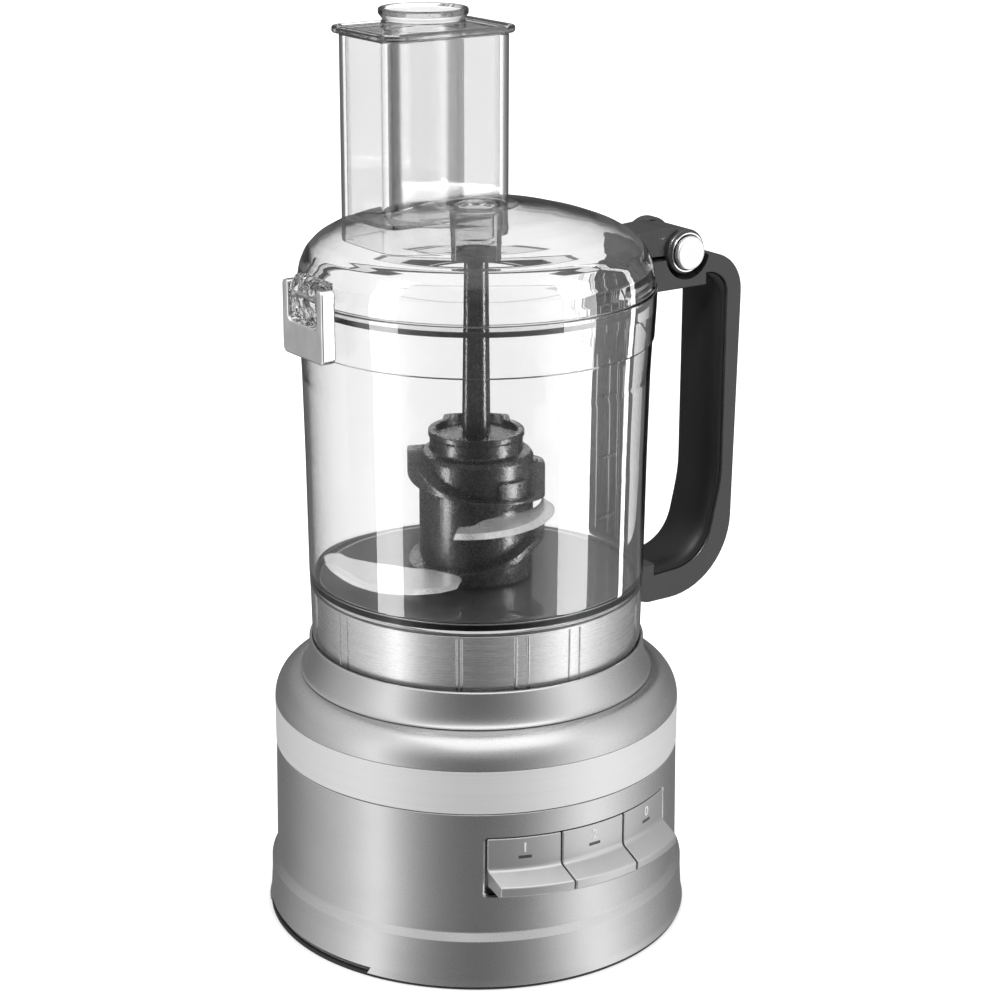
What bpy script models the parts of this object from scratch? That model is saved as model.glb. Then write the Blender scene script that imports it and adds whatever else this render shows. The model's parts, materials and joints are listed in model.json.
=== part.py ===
"""Food processor: motor base, clear work bowl, hinged lid, nested pushers and a two-blade knife.

The script works in millimetres around the spindle axis, with z = 0 on the worktop, and its helpers
turn them into metres. The front, with the keys, faces -Y; the handle and the lid hinge are at +X;
the lid latch is at -X. The whole object is then moved so that its box is centred over the origin.
"""

import math

import bmesh
import bpy
from mathutils import Matrix, Vector

MM = 0.001

# Driving dimensions, in millimetres
SKIRT_R = 102.7            # foot of the base housing
HOUSING_FOOT = 0.5         # lower edge of the housing above the worktop
FLARE_R = 100.6            # housing where its skirt flares
FLARE_Z = 14.0
NOTCH_TOP = 5.9            # top of the hand notches at both sides
HOUSING_TOP = 86.0
HOUSING_TOP_R = 97.3
HOUSING_WALL = 2.5
BAND_TOP = 107.1
DECK_Z = 122.0             # flat top of the base
DECK_R = 85.0
SEAT_TOP = 138.5           # lip of the ring that takes the bowl
PEDESTAL_R = 75.5
PEDESTAL_TOP = 164.3
GAP = 0.3                  # between pieces that touch

KEY_ANGLE = 20.8           # degrees of the front that one key takes
KEY_TOP = 74.0
KEY_FACE_R = 97.8
KEY_LIP = 11.2             # how far a key's lip reaches forward of its face
KEY_PIVOT = (93.5, 73.0)   # radius and height of a key's hinge line

BOWL_FLOOR = 169.2
BOWL_RIM_Z = 309.0
BOWL_RIM_R = 83.6
CHIMNEY_R = 13.2
CHIMNEY_TOP = 214.0

HINGE_X = 111.5
HINGE_Z = 313.5
BARREL_R = 11.0
HANDLE_OUT = 145.8
HANDLE_HALF = 16.4

LATCH_OUT = 93.0
LATCH_PIVOT = (-88.6, 315.0)

LID_R = 82.9
TUBE_CENTRE = (-3.0, 38.5)
TUBE_SIZE = (69.0, 49.0)
TUBE_TOP = 420.0
TUBE_WALL = 2.3
PUSHER_CENTRE = (-3.5, 38.2)
OVERALL_HEIGHT = 432.0     # rim of the small pusher's cup

MOTOR_CENTRE = (0.0, 48.0)
PULLEY_TEETH = (12, 60)    # motor pulley, spindle pulley
BELT_PITCH = 3.8

# The spindle axis stands here, so that the object's box is centred over the origin
NOTCH_R = SKIRT_R + (FLARE_R - SKIRT_R) * (NOTCH_TOP - HOUSING_FOOT) / (FLARE_Z - HOUSING_FOOT)
AXIS_X = (NOTCH_R - HANDLE_OUT) / 2
AXIS_Y = (KEY_FACE_R + KEY_LIP - SKIRT_R) / 2

STEPS = 48                 # segments of a large turned piece
SMALL = 20                 # segments of a small one

SILVER = ("silver_paint", (0.55, 0.56, 0.57), 0.35, 0.8, 1.0)
BRUSHED = ("brushed_band", (0.72, 0.73, 0.74), 0.3, 0.9, 1.0)
KEY_GREY = ("key_grey", (0.62, 0.63, 0.64), 0.4, 0.3, 1.0)
CHARCOAL = ("charcoal_plastic", (0.07, 0.07, 0.072), 0.5, 0.0, 1.0)
SOFT_BLACK = ("soft_grip", (0.02, 0.02, 0.02), 0.8, 0.0, 1.0)
CLEAR = ("clear_plastic", (0.9, 0.92, 0.93), 0.05, 0.0, 0.3)
CHROME = ("chrome", (0.85, 0.85, 0.86), 0.08, 1.0, 1.0)
STEEL = ("steel", (0.7, 0.71, 0.72), 0.25, 1.0, 1.0)
COPPER = ("copper", (0.72, 0.38, 0.2), 0.3, 1.0, 1.0)
RUBBER = ("rubber", (0.03, 0.03, 0.03), 0.9, 0.0, 1.0)
BOARD = ("circuit_board", (0.05, 0.22, 0.1), 0.5, 0.0, 1.0)


# Helpers

def new_collection(name):
    collection = bpy.data.collections.new(name)
    bpy.context.scene.collection.children.link(collection)
    return collection


def material(finish):
    name, colour, roughness, metallic, alpha = finish
    if name in bpy.data.materials:
        return bpy.data.materials[name]
    made = bpy.data.materials.new(name)
    made.use_nodes = True
    shader = made.node_tree.nodes["Principled BSDF"]
    shader.inputs["Base Color"].default_value = (*colour, 1.0)
    shader.inputs["Roughness"].default_value = roughness
    shader.inputs["Metallic"].default_value = metallic
    shader.inputs["Alpha"].default_value = alpha
    return made


def pivot(name, x, y, z):
    """An empty on a joint's axis, placed from the spindle axis."""
    empty = bpy.data.objects.new(name, None)
    PARTS.objects.link(empty)
    empty.parent = SPINDLE_AXIS
    empty.location = Vector((x, y, z)) * MM
    return empty


def add(name, mesh, frame, finish, at=(0, 0, 0)):
    """Puts a mesh, drawn around the spindle axis or around `at`, under the empty `frame`."""
    obj = bpy.data.objects.new(name, mesh)
    obj.parent = frame
    origin = Vector((0, 0, 0)) if frame is SPINDLE_AXIS else frame.location
    obj.location = Vector(at) * MM - origin
    if finish is None:
        CUTTERS.objects.link(obj)
        obj.hide_render = True
        obj.display_type = "WIRE"
    else:
        PARTS.objects.link(obj)
        obj.data.materials.append(material(finish))
    return obj


def profile_mesh(name, profile, closed):
    mesh = bpy.data.meshes.new(name)
    points = [(r * MM, 0, z * MM) for r, z in profile]
    edges = [(i, i + 1) for i in range(len(points) - 1)]
    if closed:
        edges.append((len(points) - 1, 0))
    mesh.from_pydata(points, edges, [])
    return mesh


def screw(obj, steps, angle=360.0):
    turn = obj.modifiers.new("Turn", "SCREW")
    turn.angle = math.radians(angle)
    turn.steps = turn.render_steps = steps
    turn.use_merge_vertices = angle == 360.0
    turn.merge_threshold = 0.00002


def turned(name, profile, frame, finish, steps=STEPS, at=(0, 0, 0)):
    """Turns a profile of (radius, height), which runs down the outer side, about the Z axis.

    A profile that starts and ends on the axis makes a solid; any other is closed into a ring."""
    obj = add(name, profile_mesh(name, profile, profile[0][0] > 0), frame, finish, at)
    screw(obj, steps)
    return obj


def tube_profile(outer, inner, low, high):
    return [(outer, high), (outer, low), (inner, low), (inner, high)]


def rod_profile(radius, low, high):
    return [(0, high), (radius, high), (radius, low), (0, low)]


def bake(obj, name):
    """The evaluated mesh of a scratch object, welded, with the scratch object removed."""
    bpy.context.view_layer.update()
    evaluated = obj.evaluated_get(bpy.context.evaluated_depsgraph_get())
    mesh = bpy.data.meshes.new_from_object(evaluated)
    mesh.name = name
    bpy.data.objects.remove(obj)
    return mesh


def edit(mesh, action):
    bm = bmesh.new()
    bm.from_mesh(mesh)
    action(bm)
    bm.to_mesh(mesh)
    bm.free()
    return mesh


def sector(name, profile, centre, width, frame, finish, steps=4):
    """Part of a turned piece: `width` degrees about the direction `centre`, 0 being the front."""
    scratch = bpy.data.objects.new(name, profile_mesh(name, profile, True))
    bpy.context.scene.collection.objects.link(scratch)
    screw(scratch, steps, width)
    mesh = bake(scratch, name)

    def close(bm):
        ends = [edge for edge in bm.edges if edge.is_boundary]
        bmesh.ops.holes_fill(bm, edges=ends, sides=0)
        bmesh.ops.recalc_face_normals(bm, faces=bm.faces)
        turn = Matrix.Rotation(math.radians(centre - 90 - width / 2), 4, "Z")
        bmesh.ops.transform(bm, matrix=turn, verts=bm.verts)

    return add(name, edit(mesh, close), frame, finish)


def rounded(corners, segments=4):
    """An outline through (x, y, radius) corners, each rounded by an arc."""
    outline = []
    count = len(corners)
    for i, (x, y, radius) in enumerate(corners):
        here = Vector((x, y))
        if radius == 0:
            outline.append(here)
            continue
        back = (Vector(corners[i - 1][:2]) - here).normalized()
        ahead = (Vector(corners[(i + 1) % count][:2]) - here).normalized()
        half = back.angle(ahead) / 2
        middle = here + (back + ahead).normalized() * (radius / math.sin(half))
        start = here + back * (radius / math.tan(half)) - middle
        sweep = start.angle_signed(here + ahead * (radius / math.tan(half)) - middle)
        for step in range(segments + 1):
            turn = Matrix.Rotation(-sweep * step / segments, 2)
            outline.append(middle + turn @ start)
    return outline


def rounded_box(width, depth, radius, centre=(0, 0), segments=4):
    x, y = width / 2, depth / 2
    corners = [(-x, -y, radius), (x, -y, radius), (x, y, radius), (-x, y, radius)]
    return [point + Vector(centre) for point in rounded(corners, segments)]


def circle(radius, sides, centre=(0, 0)):
    angles = [2 * math.pi * i / sides for i in range(sides)]
    return [Vector((centre[0] + radius * math.cos(a), centre[1] + radius * math.sin(a))) for a in angles]


def prism(name, outlines, low, high, frame, finish, along="Z"):
    """Extrudes outlines, holes included, from low to high along Z (x, y) or along Y (x, z)."""
    curve = bpy.data.curves.new(name, "CURVE")
    curve.dimensions = "2D"
    curve.fill_mode = "BOTH"
    curve.extrude = (high - low) / 2 * MM
    for outline in outlines:
        spline = curve.splines.new("POLY")
        spline.points.add(len(outline) - 1)
        for point, (x, y) in zip(spline.points, outline):
            point.co = (x * MM, y * MM, 0, 1)
        spline.use_cyclic_u = True
    scratch = bpy.data.objects.new(name, curve)
    bpy.context.scene.collection.objects.link(scratch)
    mesh = bake(scratch, name)
    middle = (high + low) / 2 * MM
    place = Matrix.Translation((0, 0, middle))
    if along == "Y":
        place = Matrix.Translation((0, middle, 0)) @ Matrix.Rotation(math.pi / 2, 4, "X")

    def weld(bm):
        bmesh.ops.remove_doubles(bm, verts=bm.verts, dist=0.000001)
        bmesh.ops.transform(bm, matrix=place, verts=bm.verts)
        bmesh.ops.recalc_face_normals(bm, faces=bm.faces)

    return add(name, edit(mesh, weld), frame, finish)


def box(name, size, centre, frame, finish, turn=0.0):
    """A block, turned `turn` degrees about the vertical."""
    mesh = bpy.data.meshes.new(name)
    place = Matrix.Rotation(math.radians(turn), 4, "Z") @ Matrix.Diagonal((*[s * MM for s in size], 1))
    edit(mesh, lambda bm: bmesh.ops.create_cube(bm, size=1.0, matrix=place))
    return add(name, mesh, frame, finish, centre)


def rod(name, radius, low, high, frame, finish, centre=(0, 0), along="Z", sides=SMALL):
    """A round bar from low to high along Z at (x, y), or along Y at (x, z)."""
    mesh = bpy.data.meshes.new(name)
    spin = Matrix.Identity(4) if along == "Z" else Matrix.Rotation(math.pi / 2, 4, "X")
    length = (high - low) * MM
    edit(mesh, lambda bm: bmesh.ops.create_cone(
        bm, cap_ends=True, segments=sides, radius1=radius * MM, radius2=radius * MM,
        depth=length, matrix=spin))
    mesh.shade_smooth()
    mesh.set_sharp_from_angle(angle=math.radians(40))
    middle = (high + low) / 2
    at = (*centre, middle) if along == "Z" else (centre[0], middle, centre[1])
    return add(name, mesh, frame, finish, at)


def boolean(obj, operand, operation="DIFFERENCE"):
    step = obj.modifiers.new(operation.title(), "BOOLEAN")
    step.operation = operation
    step.solver = "EXACT"
    step.object = operand


def cut_rod(obj, radius, low, high, frame, centre=(0, 0), along="Z", sides=SMALL):
    boolean(obj, rod(f"{obj.name}_bore", radius, low, high, frame, None, centre, along, sides))


def join_rod(obj, radius, low, high, frame, centre=(0, 0), along="Z", sides=SMALL):
    operand = rod(f"{obj.name}_boss", radius, low, high, frame, None, centre, along, sides)
    boolean(obj, operand, "UNION")


def polar(radius, azimuth):
    """x and y at an azimuth in degrees: 0 is the front, 90 the handle side."""
    angle = math.radians(azimuth)
    return radius * math.sin(angle), -radius * math.cos(angle)


# Base: casings

def base_housing():
    outer = [(HOUSING_TOP_R, HOUSING_TOP), (98.4, 55), (99.3, 26)]
    outer += [(FLARE_R, FLARE_Z), (SKIRT_R, HOUSING_FOOT)]
    inner = [(r - HOUSING_WALL, z) for r, z in reversed(outer)]
    housing = turned("base_housing", outer + inner, BASE, SILVER)
    window = sector("key_window", [(106, 74.5), (106, 42.5), (88, 42.5), (88, 74.5)],
                    0, 3 * KEY_ANGLE + 0.8, BASE, None, steps=12)
    boolean(housing, window)
    for side in (-90, 90):
        notch = sector("hand_notch", [(110, NOTCH_TOP), (110, -2), (90, -2), (90, NOTCH_TOP)],
                       side, 48.8, BASE, None, steps=8)
        boolean(housing, notch)
    for azimuth in SCREW_AZIMUTHS:
        x, y = polar(SCREW_R, azimuth)
        join_rod(housing, 7.0, 11.0, 26.0, BASE, (x, y), sides=12)
        cut_rod(housing, 2.6, 9.0, 20.0, BASE, (x, y), sides=12)
    cut_rod(housing, 7.0, 86.0, 106.0, BASE, GLAND, along="Y")


SCREW_R = 91.5
SCREW_AZIMUTHS = (-64, 56, 176)
FOOT_R = 80.0
FOOT_AZIMUTHS = (-45, 45, 135, -135)
PLATE_Z = (8.0, 10.5)
GLAND = (24.0, 42.0)         # x and z of the cord inlet, through the back


def base_covers():
    turned("base_band", tube_profile(97.5, 94.6, HOUSING_TOP + GAP, BAND_TOP), BASE, BRUSHED)
    outer = [(14.0, DECK_Z), (DECK_R, DECK_Z)]
    rise = DECK_Z - BAND_TOP - GAP
    for step in range(1, 7):
        angle = math.radians(15 * step)
        outer.append((DECK_R + 12.5 * math.sin(angle), BAND_TOP + GAP + rise * math.cos(angle)))
    inner = [(94.8, BAND_TOP + GAP), (92.6, 114), (84, DECK_Z - 2.8), (14.0, DECK_Z - 2.8)]
    turned("top_cover", outer + inner, BASE, SILVER)
    cove = [(80.0, SEAT_TOP), (80.6, 133.5), (82.0, 128.5), (84.9, DECK_Z + GAP)]
    turned("bowl_seat_ring", cove + [(79.2, DECK_Z + GAP), (79.2, SEAT_TOP)], BASE, SILVER)
    low = DECK_Z + GAP
    drum = [(PEDESTAL_R, PEDESTAL_TOP), (PEDESTAL_R, low), (73.3, low), (73.3, PEDESTAL_TOP)]
    turned("bowl_pedestal", drum, BASE, SILVER)
    cap = [(PEDESTAL_R - 0.2, 166.3), (PEDESTAL_R - 0.2, PEDESTAL_TOP + GAP), (17, PEDESTAL_TOP + GAP)]
    turned("pedestal_cap", cap + [(17, 166.3)], BASE, CHARCOAL)


def base_floor():
    plate = turned("bottom_plate", rod_profile(98.0, *PLATE_Z), BASE, CHARCOAL)
    head = PLATE_Z[0] - GAP
    shank = [(0, 18.0), (2.2, 18.0), (2.2, head), (4.2, head), (4.2, 5.2), (0, 5.2)]
    for number, azimuth in enumerate(SCREW_AZIMUTHS, 1):
        x, y = polar(SCREW_R, azimuth)
        cut_rod(plate, 2.6, 6.0, 12.0, BASE, (x, y), sides=12)
        turned(f"plate_screw_{number}", shank, BASE, STEEL, steps=12, at=(x, y, 0))
    for number, azimuth in enumerate(FOOT_AZIMUTHS, 1):
        pad = [(0, PLATE_Z[0] - GAP), (8.0, PLATE_Z[0] - GAP), (9.0, 1.0), (8.4, 0), (0, 0)]
        turned(f"foot_{number}", pad, BASE, RUBBER, steps=SMALL, at=(*polar(FOOT_R, azimuth), 0))


def cord_gland():
    gland = rod("cord_gland", 6.6, 86.0, 97.8, BASE, RUBBER, GLAND, along="Y")
    cut_rod(gland, 3.6, 84.0, 100.0, BASE, GLAND, along="Y", sides=16)


# Base: drive

CHASSIS_Z = (33.0, 36.5)
PULLEY_Z = (17.0, 27.0)


def chassis():
    plate = prism("chassis_plate", [rounded_box(112, 138, 12, (0, 14))], *CHASSIS_Z, BASE, STEEL)
    cut_rod(plate, 11.3, 30.0, 40.0, BASE)
    cut_rod(plate, 8.3, 30.0, 40.0, BASE, MOTOR_CENTRE)
    for x in (-48, 48):
        for y in (-47, 75):
            join_rod(plate, 4.0, PLATE_Z[1] + GAP, CHASSIS_Z[0] + 1, BASE, (x, y), sides=12)
    outline = [(-39, 36.8), (-39, 102), (39, 102), (39, 36.8), (36, 36.8), (36, 99), (-36, 99), (-36, 36.8)]
    x, y = MOTOR_CENTRE
    bracket = prism("motor_bracket", [outline], y - 10, y + 10, BASE, STEEL, along="Y")
    cut_rod(bracket, 8.3, 95.0, 105.0, BASE, MOTOR_CENTRE)
    for place, low in (("lower", 33.0), ("upper", 98.5)):
        race = tube_profile(8.0, 4.3, low, low + 4.5)
        turned(f"motor_bearing_{place}", race, BASE, STEEL, SMALL, (x, y, 0))
    turned("spindle_bearing_lower", tube_profile(11.0, 5.3, 32.0, 38.0), BASE, STEEL, SMALL)
    turned("spindle_bearing_upper", tube_profile(13.7, 5.3, 116.0, 123.5), BASE, STEEL, SMALL)


def motor_static():
    x, y = MOTOR_CENTRE
    outline = rounded_box(60, 60, 10, MOTOR_CENTRE, 3)
    prism("motor_stator", [outline, circle(20, 24, MOTOR_CENTRE)], 50, 80, BASE, STEEL)
    for place, low, high in (("lower", 42.0, 49.7), ("upper", 80.3, 87.5)):
        coil = tube_profile(28, 20.5, low, high)
        turned(f"field_winding_{place}", coil, BASE, COPPER, 24, (x, y, 0))
    yoke = turned("brush_yoke", tube_profile(29, 26, 90, 96), BASE, CHARCOAL, 24, (x, y, 0))
    for side in (-1, 1):
        boolean(yoke, box("brush", (17, 8, 8), (x + side * 19, y, 93), BASE, None), "UNION")


def belt():
    """The loop around both pulleys: two arcs joined by the outer tangents."""
    small, large = (teeth * BELT_PITCH / (2 * math.pi) + 2 * GAP for teeth in PULLEY_TEETH)
    reach = MOTOR_CENTRE[1]
    lean = math.asin((large - small) / reach)
    arcs = ((0, large, math.pi - lean, math.pi + 2 * lean, 18), (reach, small, lean, math.pi - 2 * lean, 6))

    def loop(offset):
        points = []
        for centre_y, radius, start, sweep, turns in arcs:
            for step in range(turns + 1):
                angle = start + sweep * step / turns
                arm = Vector((math.cos(angle), math.sin(angle))) * (radius + offset)
                points.append(arm + Vector((0, centre_y)))
        return points

    prism("drive_belt", [loop(1.4), loop(0)], PULLEY_Z[0] + 0.5, PULLEY_Z[1] - 0.5, BASE, RUBBER)


def controls():
    strip = [(75.5, 77), (75.5, 41), (73.7, 41), (73.7, 77)]
    sector("control_board", strip, 0, 3 * KEY_ANGLE + 4, BASE, BOARD, steps=3)
    for number, azimuth in enumerate((-KEY_ANGLE, 0, KEY_ANGLE), 1):
        x, y = polar(80.6, azimuth)
        switch = box(f"key_switch_{number}", (12, 8.4, 9), (x, y, 58), BASE, CHARCOAL, azimuth)
        nub = polar(88.2, azimuth)
        boolean(switch, box("nub", (4, 9, 4), (*nub, 58), BASE, None, azimuth), "UNION")


# Moving pieces in the base

def motor_rotor():
    x, y = MOTOR_CENTRE
    at = (x, y, 0)
    pinion_r = PULLEY_TEETH[0] * BELT_PITCH / (2 * math.pi)
    rod("motor_shaft", 4.0, 15.5, 105.0, ROTOR, STEEL, MOTOR_CENTRE)
    turned("motor_pulley", tube_profile(pinion_r, 4.3, *PULLEY_Z), ROTOR, STEEL, 24, at)
    turned("rotor_core", tube_profile(18.5, 4.3, 50, 80), ROTOR, STEEL, 24, at)
    turned("commutator", tube_profile(10.0, 4.3, 88, 97), ROTOR, COPPER, SMALL, at)
    fan = turned("cooling_fan", tube_profile(9.0, 4.3, 37.8, 41.0), ROTOR, CHARCOAL, SMALL, at)
    for blade in range(6):
        angle = 60 * blade
        vane_x = x + 17 * math.cos(math.radians(angle))
        vane_y = y + 17 * math.sin(math.radians(angle))
        boolean(fan, box("vane", (18, 1.6, 2.6), (vane_x, vane_y, 39.5), ROTOR, None, angle), "UNION")


def spindle():
    wheel_r = PULLEY_TEETH[1] * BELT_PITCH / (2 * math.pi)
    rod("drive_spindle", 5.0, 14.0, 200.0, SPIN, STEEL)
    web = [(wheel_r, PULLEY_Z[1]), (wheel_r, PULLEY_Z[0]), (5.3, PULLEY_Z[0]), (5.3, PULLEY_Z[1])]
    turned("drive_pulley", web, SPIN, CHARCOAL, 36)
    coupler = turned("drive_coupler", rod_profile(8.4, 184.0, 221.0), SPIN, STEEL, 12)
    cut_rod(coupler, 5.3, 183.0, 200.3, SPIN)


# Bowl

BOWL_OUTER = [(BOWL_RIM_R, BOWL_RIM_Z), (83.3, 300), (82.5, 286), (81.2, 268), (80.4, 230), (79.7, 170),
              (78.8, 137), (78.6, 126)]
BOWL_INNER = [(77.4, BOWL_FLOOR), (78.1, 230), (78.9, 266), (80.2, 286), (81.2, 300), (81.4, BOWL_RIM_Z)]


def bowl_shell():
    under = [(76.6, 126), (76.6, 167.0), (CHIMNEY_R + 1.0, 167.0), (CHIMNEY_R - 2.0, 165.5)]
    chimney = [(CHIMNEY_R - 2.2, CHIMNEY_TOP), (CHIMNEY_R, CHIMNEY_TOP), (CHIMNEY_R, BOWL_FLOOR)]
    shell = turned("bowl_shell", BOWL_OUTER + under + chimney + BOWL_INNER, BOWL, CLEAR)
    catch = [(85.4, 297), (85.4, 293), (81.5, 290), (81.5, 297)]
    boolean(shell, sector("latch_catch", catch, -90, 10, BOWL, None, steps=2), "UNION")


# The pad's edge towards the fingers, and its seam with the rigid frame
PAD_INNER = [(124, 296, 0), (130.3, 296, 5), (130.3, 190, 60), (122.5, 158.8, 24), (96, 158.2, 0)]
PAD_OUTER = [(96, 152.5, 0), (126.5, 154, 22), (136, 196, 60), (136, 301.5, 11), (124, 301.5, 0)]


def handle():
    seam = [(x + (GAP if x > 125 else -GAP), z + (GAP if z > 200 else -GAP), r) for x, z, r in PAD_OUTER]
    outer = [(83.9, 311, 0), (HANDLE_OUT, 311, 20), (HANDLE_OUT, 285, 0), (143.0, 138.4, 38)]
    outer += [(92, 138.4, 3), (80.2, 142, 0)]
    wall = [(81.0, 232, 0), (81.8, 268, 0), (83.1, 286, 0)]
    finger_gap = [(124 - GAP, 296, 0), (86.9, 296, 3), (84.6, 230, 0), (83.6, 158.2, 4), (96 - GAP, 158.2, 0)]
    outline = rounded(outer) + rounded(wall)
    hole = rounded(finger_gap + seam)
    body = prism("bowl_handle", [outline, hole], -HANDLE_HALF, HANDLE_HALF, BOWL, CHARCOAL, "Y")
    join_rod(body, 12.4, 12.0, 19.0, BOWL, (HINGE_X, HINGE_Z), "Y", 22)
    cut_rod(body, 13.3, -20.0, 11.8, BOWL, (HINGE_X, HINGE_Z), "Y", 26)
    cut_rod(body, 3.3, 8.0, 17.5, BOWL, (HINGE_X, HINGE_Z), "Y")
    pad = rounded(PAD_INNER + PAD_OUTER)
    prism("handle_grip", [pad], -15.4, 15.4, BOWL, SOFT_BLACK, "Y")


def hinge():
    rod("hinge_pin", 3.0, -16.8, 17.2, BOWL, STEEL, (HINGE_X, HINGE_Z), "Y")
    cap = rod("hinge_cap", 8.2, -19.4, -16.0, BOWL, CHROME, (HINGE_X, HINGE_Z), "Y", 24)
    cut_rod(cap, 3.3, -17.2, -14.0, BOWL, (HINGE_X, HINGE_Z), "Y")


# Lid

def lid_dome():
    outer = [(0, 348.2), (20, 347.1), (40, 344), (55, 340), (66, 336), (74, 331.5), (79, 326)]
    outer += [(81.5, 320), (82.5, 314), (LID_R, 309.4)]
    lip = [(79.2, 309.4), (78.9, 303.5), (77.2, 303.5), (77.6, 312), (78.4, 320), (75.6, 326)]
    inner = [(71.5, 330), (64, 334), (53, 337.6), (39, 341.5), (19.5, 344.7)]
    well = [(11.9, 345.0), (11.2, 321.4), (9.6, 321.4), (9.6, 343.0), (0, 343.0)]
    dome = turned("lid_dome", outer + lip + inner + well, LID, CLEAR)
    opening = rounded_box(TUBE_SIZE[0] + 2 * GAP, TUBE_SIZE[1] + 2 * GAP, 8.3, TUBE_CENTRE)
    boolean(dome, prism("tube_opening", [opening], 290, 360, LID, None))


def feed_tube():
    outer = rounded_box(*TUBE_SIZE, 8, TUBE_CENTRE)
    inner = rounded_box(TUBE_SIZE[0] - 2 * TUBE_WALL, TUBE_SIZE[1] - 2 * TUBE_WALL, 6, TUBE_CENTRE)
    prism("feed_tube", [outer, inner], 324, TUBE_TOP, LID, CLEAR)


def lid_fittings():
    turned("stem_bearing", tube_profile(9.3, 7.3, 321.6, 326.4), LID, CHARCOAL, SMALL)
    turned("lid_gasket", tube_profile(80.4, 79.5, 303.8, 308.6), LID, RUBBER)
    top = [(83.3, 312, 0), (83.3, 324.6, 2), (100, 325.6, 4), (107, 325.6, 3)]
    top += [(HINGE_X, 321, 0), (HINGE_X, 312, 0)]
    arm = prism("lid_hinge_arm", [rounded(top, 2)], -13.0, 11.4, LID, CHARCOAL, "Y")
    join_rod(arm, BARREL_R, -15.6, 11.4, LID, (HINGE_X, HINGE_Z), "Y", 24)
    cut_rod(arm, 3.4, -20.0, 15.0, LID, (HINGE_X, HINGE_Z), "Y")
    lug = [(-84.1, 303, 0), (-91.5, 304, 1), (-92.4, 318, 4), (-89, 325, 4), (-83.3, 322, 0)]
    block = prism("latch_lug", [rounded(lug, 3)], -11.8, 11.8, LID, CLEAR, "Y")
    cut_rod(block, 1.9, -20.0, 20.0, LID, LATCH_PIVOT, "Y", 12)


# Latch

def latch():
    x_out, x_in = -LATCH_OUT, -86.0
    side = [(x_in, 290, 1), (x_out + 1.2, 287, 3), (x_out, 302, 0), (x_out + 0.4, 318, 3), (x_in, 320.5, 2)]
    lever = prism("latch_lever", [rounded(side, 3)], -17.5, 17.5, LATCH, CHROME, "Y")
    window = box("latch_window", (20, 24.4, 24), (-88, 0, 314.5), LATCH, None)
    boolean(lever, window)
    cut_rod(lever, 1.8, -16.0, 16.0, LATCH, LATCH_PIVOT, "Y", 12)
    rod("latch_pin", 1.5, -15.6, 15.6, LATCH, STEEL, LATCH_PIVOT, "Y", 12)


# Pushers

def pusher():
    centre = PUSHER_CENTRE
    body = prism("pusher", [rounded_box(62.8, 42.8, 5.5, centre)], 333, 421, PUSH, CLEAR)
    flange = prism("pusher_flange", [rounded_box(74, 54, 9, centre)], 420.6, 424.0, PUSH, None)
    boolean(body, flange, "UNION")
    join_rod(body, 19.6, 420.0, 426.2, PUSH, centre, sides=32)
    cavity = prism("pusher_cavity", [rounded_box(58.8, 38.8, 4, centre)], 335.2, 418.5, PUSH, None)
    boolean(cavity, rod("pusher_column", 19.0, 330, 425, PUSH, None, centre, sides=32), "DIFFERENCE")
    boolean(body, cavity)
    dish = prism("pusher_dish", [rounded_box(67, 47, 6, centre)], 422.6, 430, PUSH, None)
    boolean(dish, rod("dish_column", 19.6, 415, 435, PUSH, None, centre, sides=32), "DIFFERENCE")
    boolean(body, dish)
    cut_rod(body, 17.2, 325, 430, PUSH, centre, sides=32)
    for dx in (-26, 26):
        cut_rod(body, 1.6, 330, 338, PUSH, (centre[0] + dx, centre[1]), sides=8)


def small_pusher():
    top = OVERALL_HEIGHT
    inside = [(0, 339.2), (14.6, 339.2), (14.8, top - 5), (18.6, top)]
    outside = [(20.9, top), (20.9, top - 2.4), (18.8, top - 5.5), (16.8, top - 5.5), (16.7, 337), (0, 337)]
    turned("small_pusher", inside + outside, CUP, CLEAR, 32, (*PUSHER_CENTRE, 0))


# Knife

STEM_R = (7.5, 6.2)        # at the hub and at the top
STEM_Z = (237.8, 325.0)


def knife_hub():
    outer = [(0, 237.5), (18.8, 237.5), (18.8, 240.0), (22.7, 240.0), (22.7, 237.0), (22.3, 232.0)]
    outer += [(25.5, 231.0), (27.0, 229.0), (27.0, 169.9)]
    socket = [(16.0, 169.9), (16.0, 217.0), (9.0, 219.5), (9.0, 223.0), (0, 223.0)]
    hub = turned("blade_hub", outer + socket, KNIFE, CHARCOAL, 36)
    for centre_z, tilt, low_side in ((213.6, 8.5, 56.0), (182.3, 18.6, -94.0)):
        ring = turned("hub_flange", tube_profile(32.6, 24.0, -1.75, 1.75), KNIFE, None, 36, (0, 0, centre_z))
        x, y = polar(1.0, low_side)
        ring.rotation_mode = "QUATERNION"
        ring.rotation_quaternion = Matrix.Rotation(math.radians(tilt), 3, Vector((-y, x, 0))).to_quaternion()
        boolean(hub, ring, "UNION")


def stem():
    """A shaft with four shallow lobes, slimmer towards its top."""
    lobes = []
    for step in range(32):
        angle = 2 * math.pi * step / 32
        reach = STEM_R[0] * (0.94 + 0.06 * math.cos(4 * angle))
        lobes.append(Vector((reach * math.cos(angle), reach * math.sin(angle))))
    shaft = prism("knife_stem", [lobes], *STEM_Z, KNIFE, CHARCOAL)
    slim = STEM_R[1] / STEM_R[0]
    for vertex in shaft.data.vertices:
        if vertex.co.z > sum(STEM_Z) / 2 * MM:
            vertex.co.x *= slim
            vertex.co.y *= slim


def crescent(name, outer, inner, z):
    """A flat blade between an outer edge and an inner edge, both given as (azimuth, radius)."""
    outline = [Vector(polar(radius, azimuth)) for azimuth, radius in outer + inner]
    return prism(name, [outline], z - 0.8, z + 0.8, KNIFE, STEEL)


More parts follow.
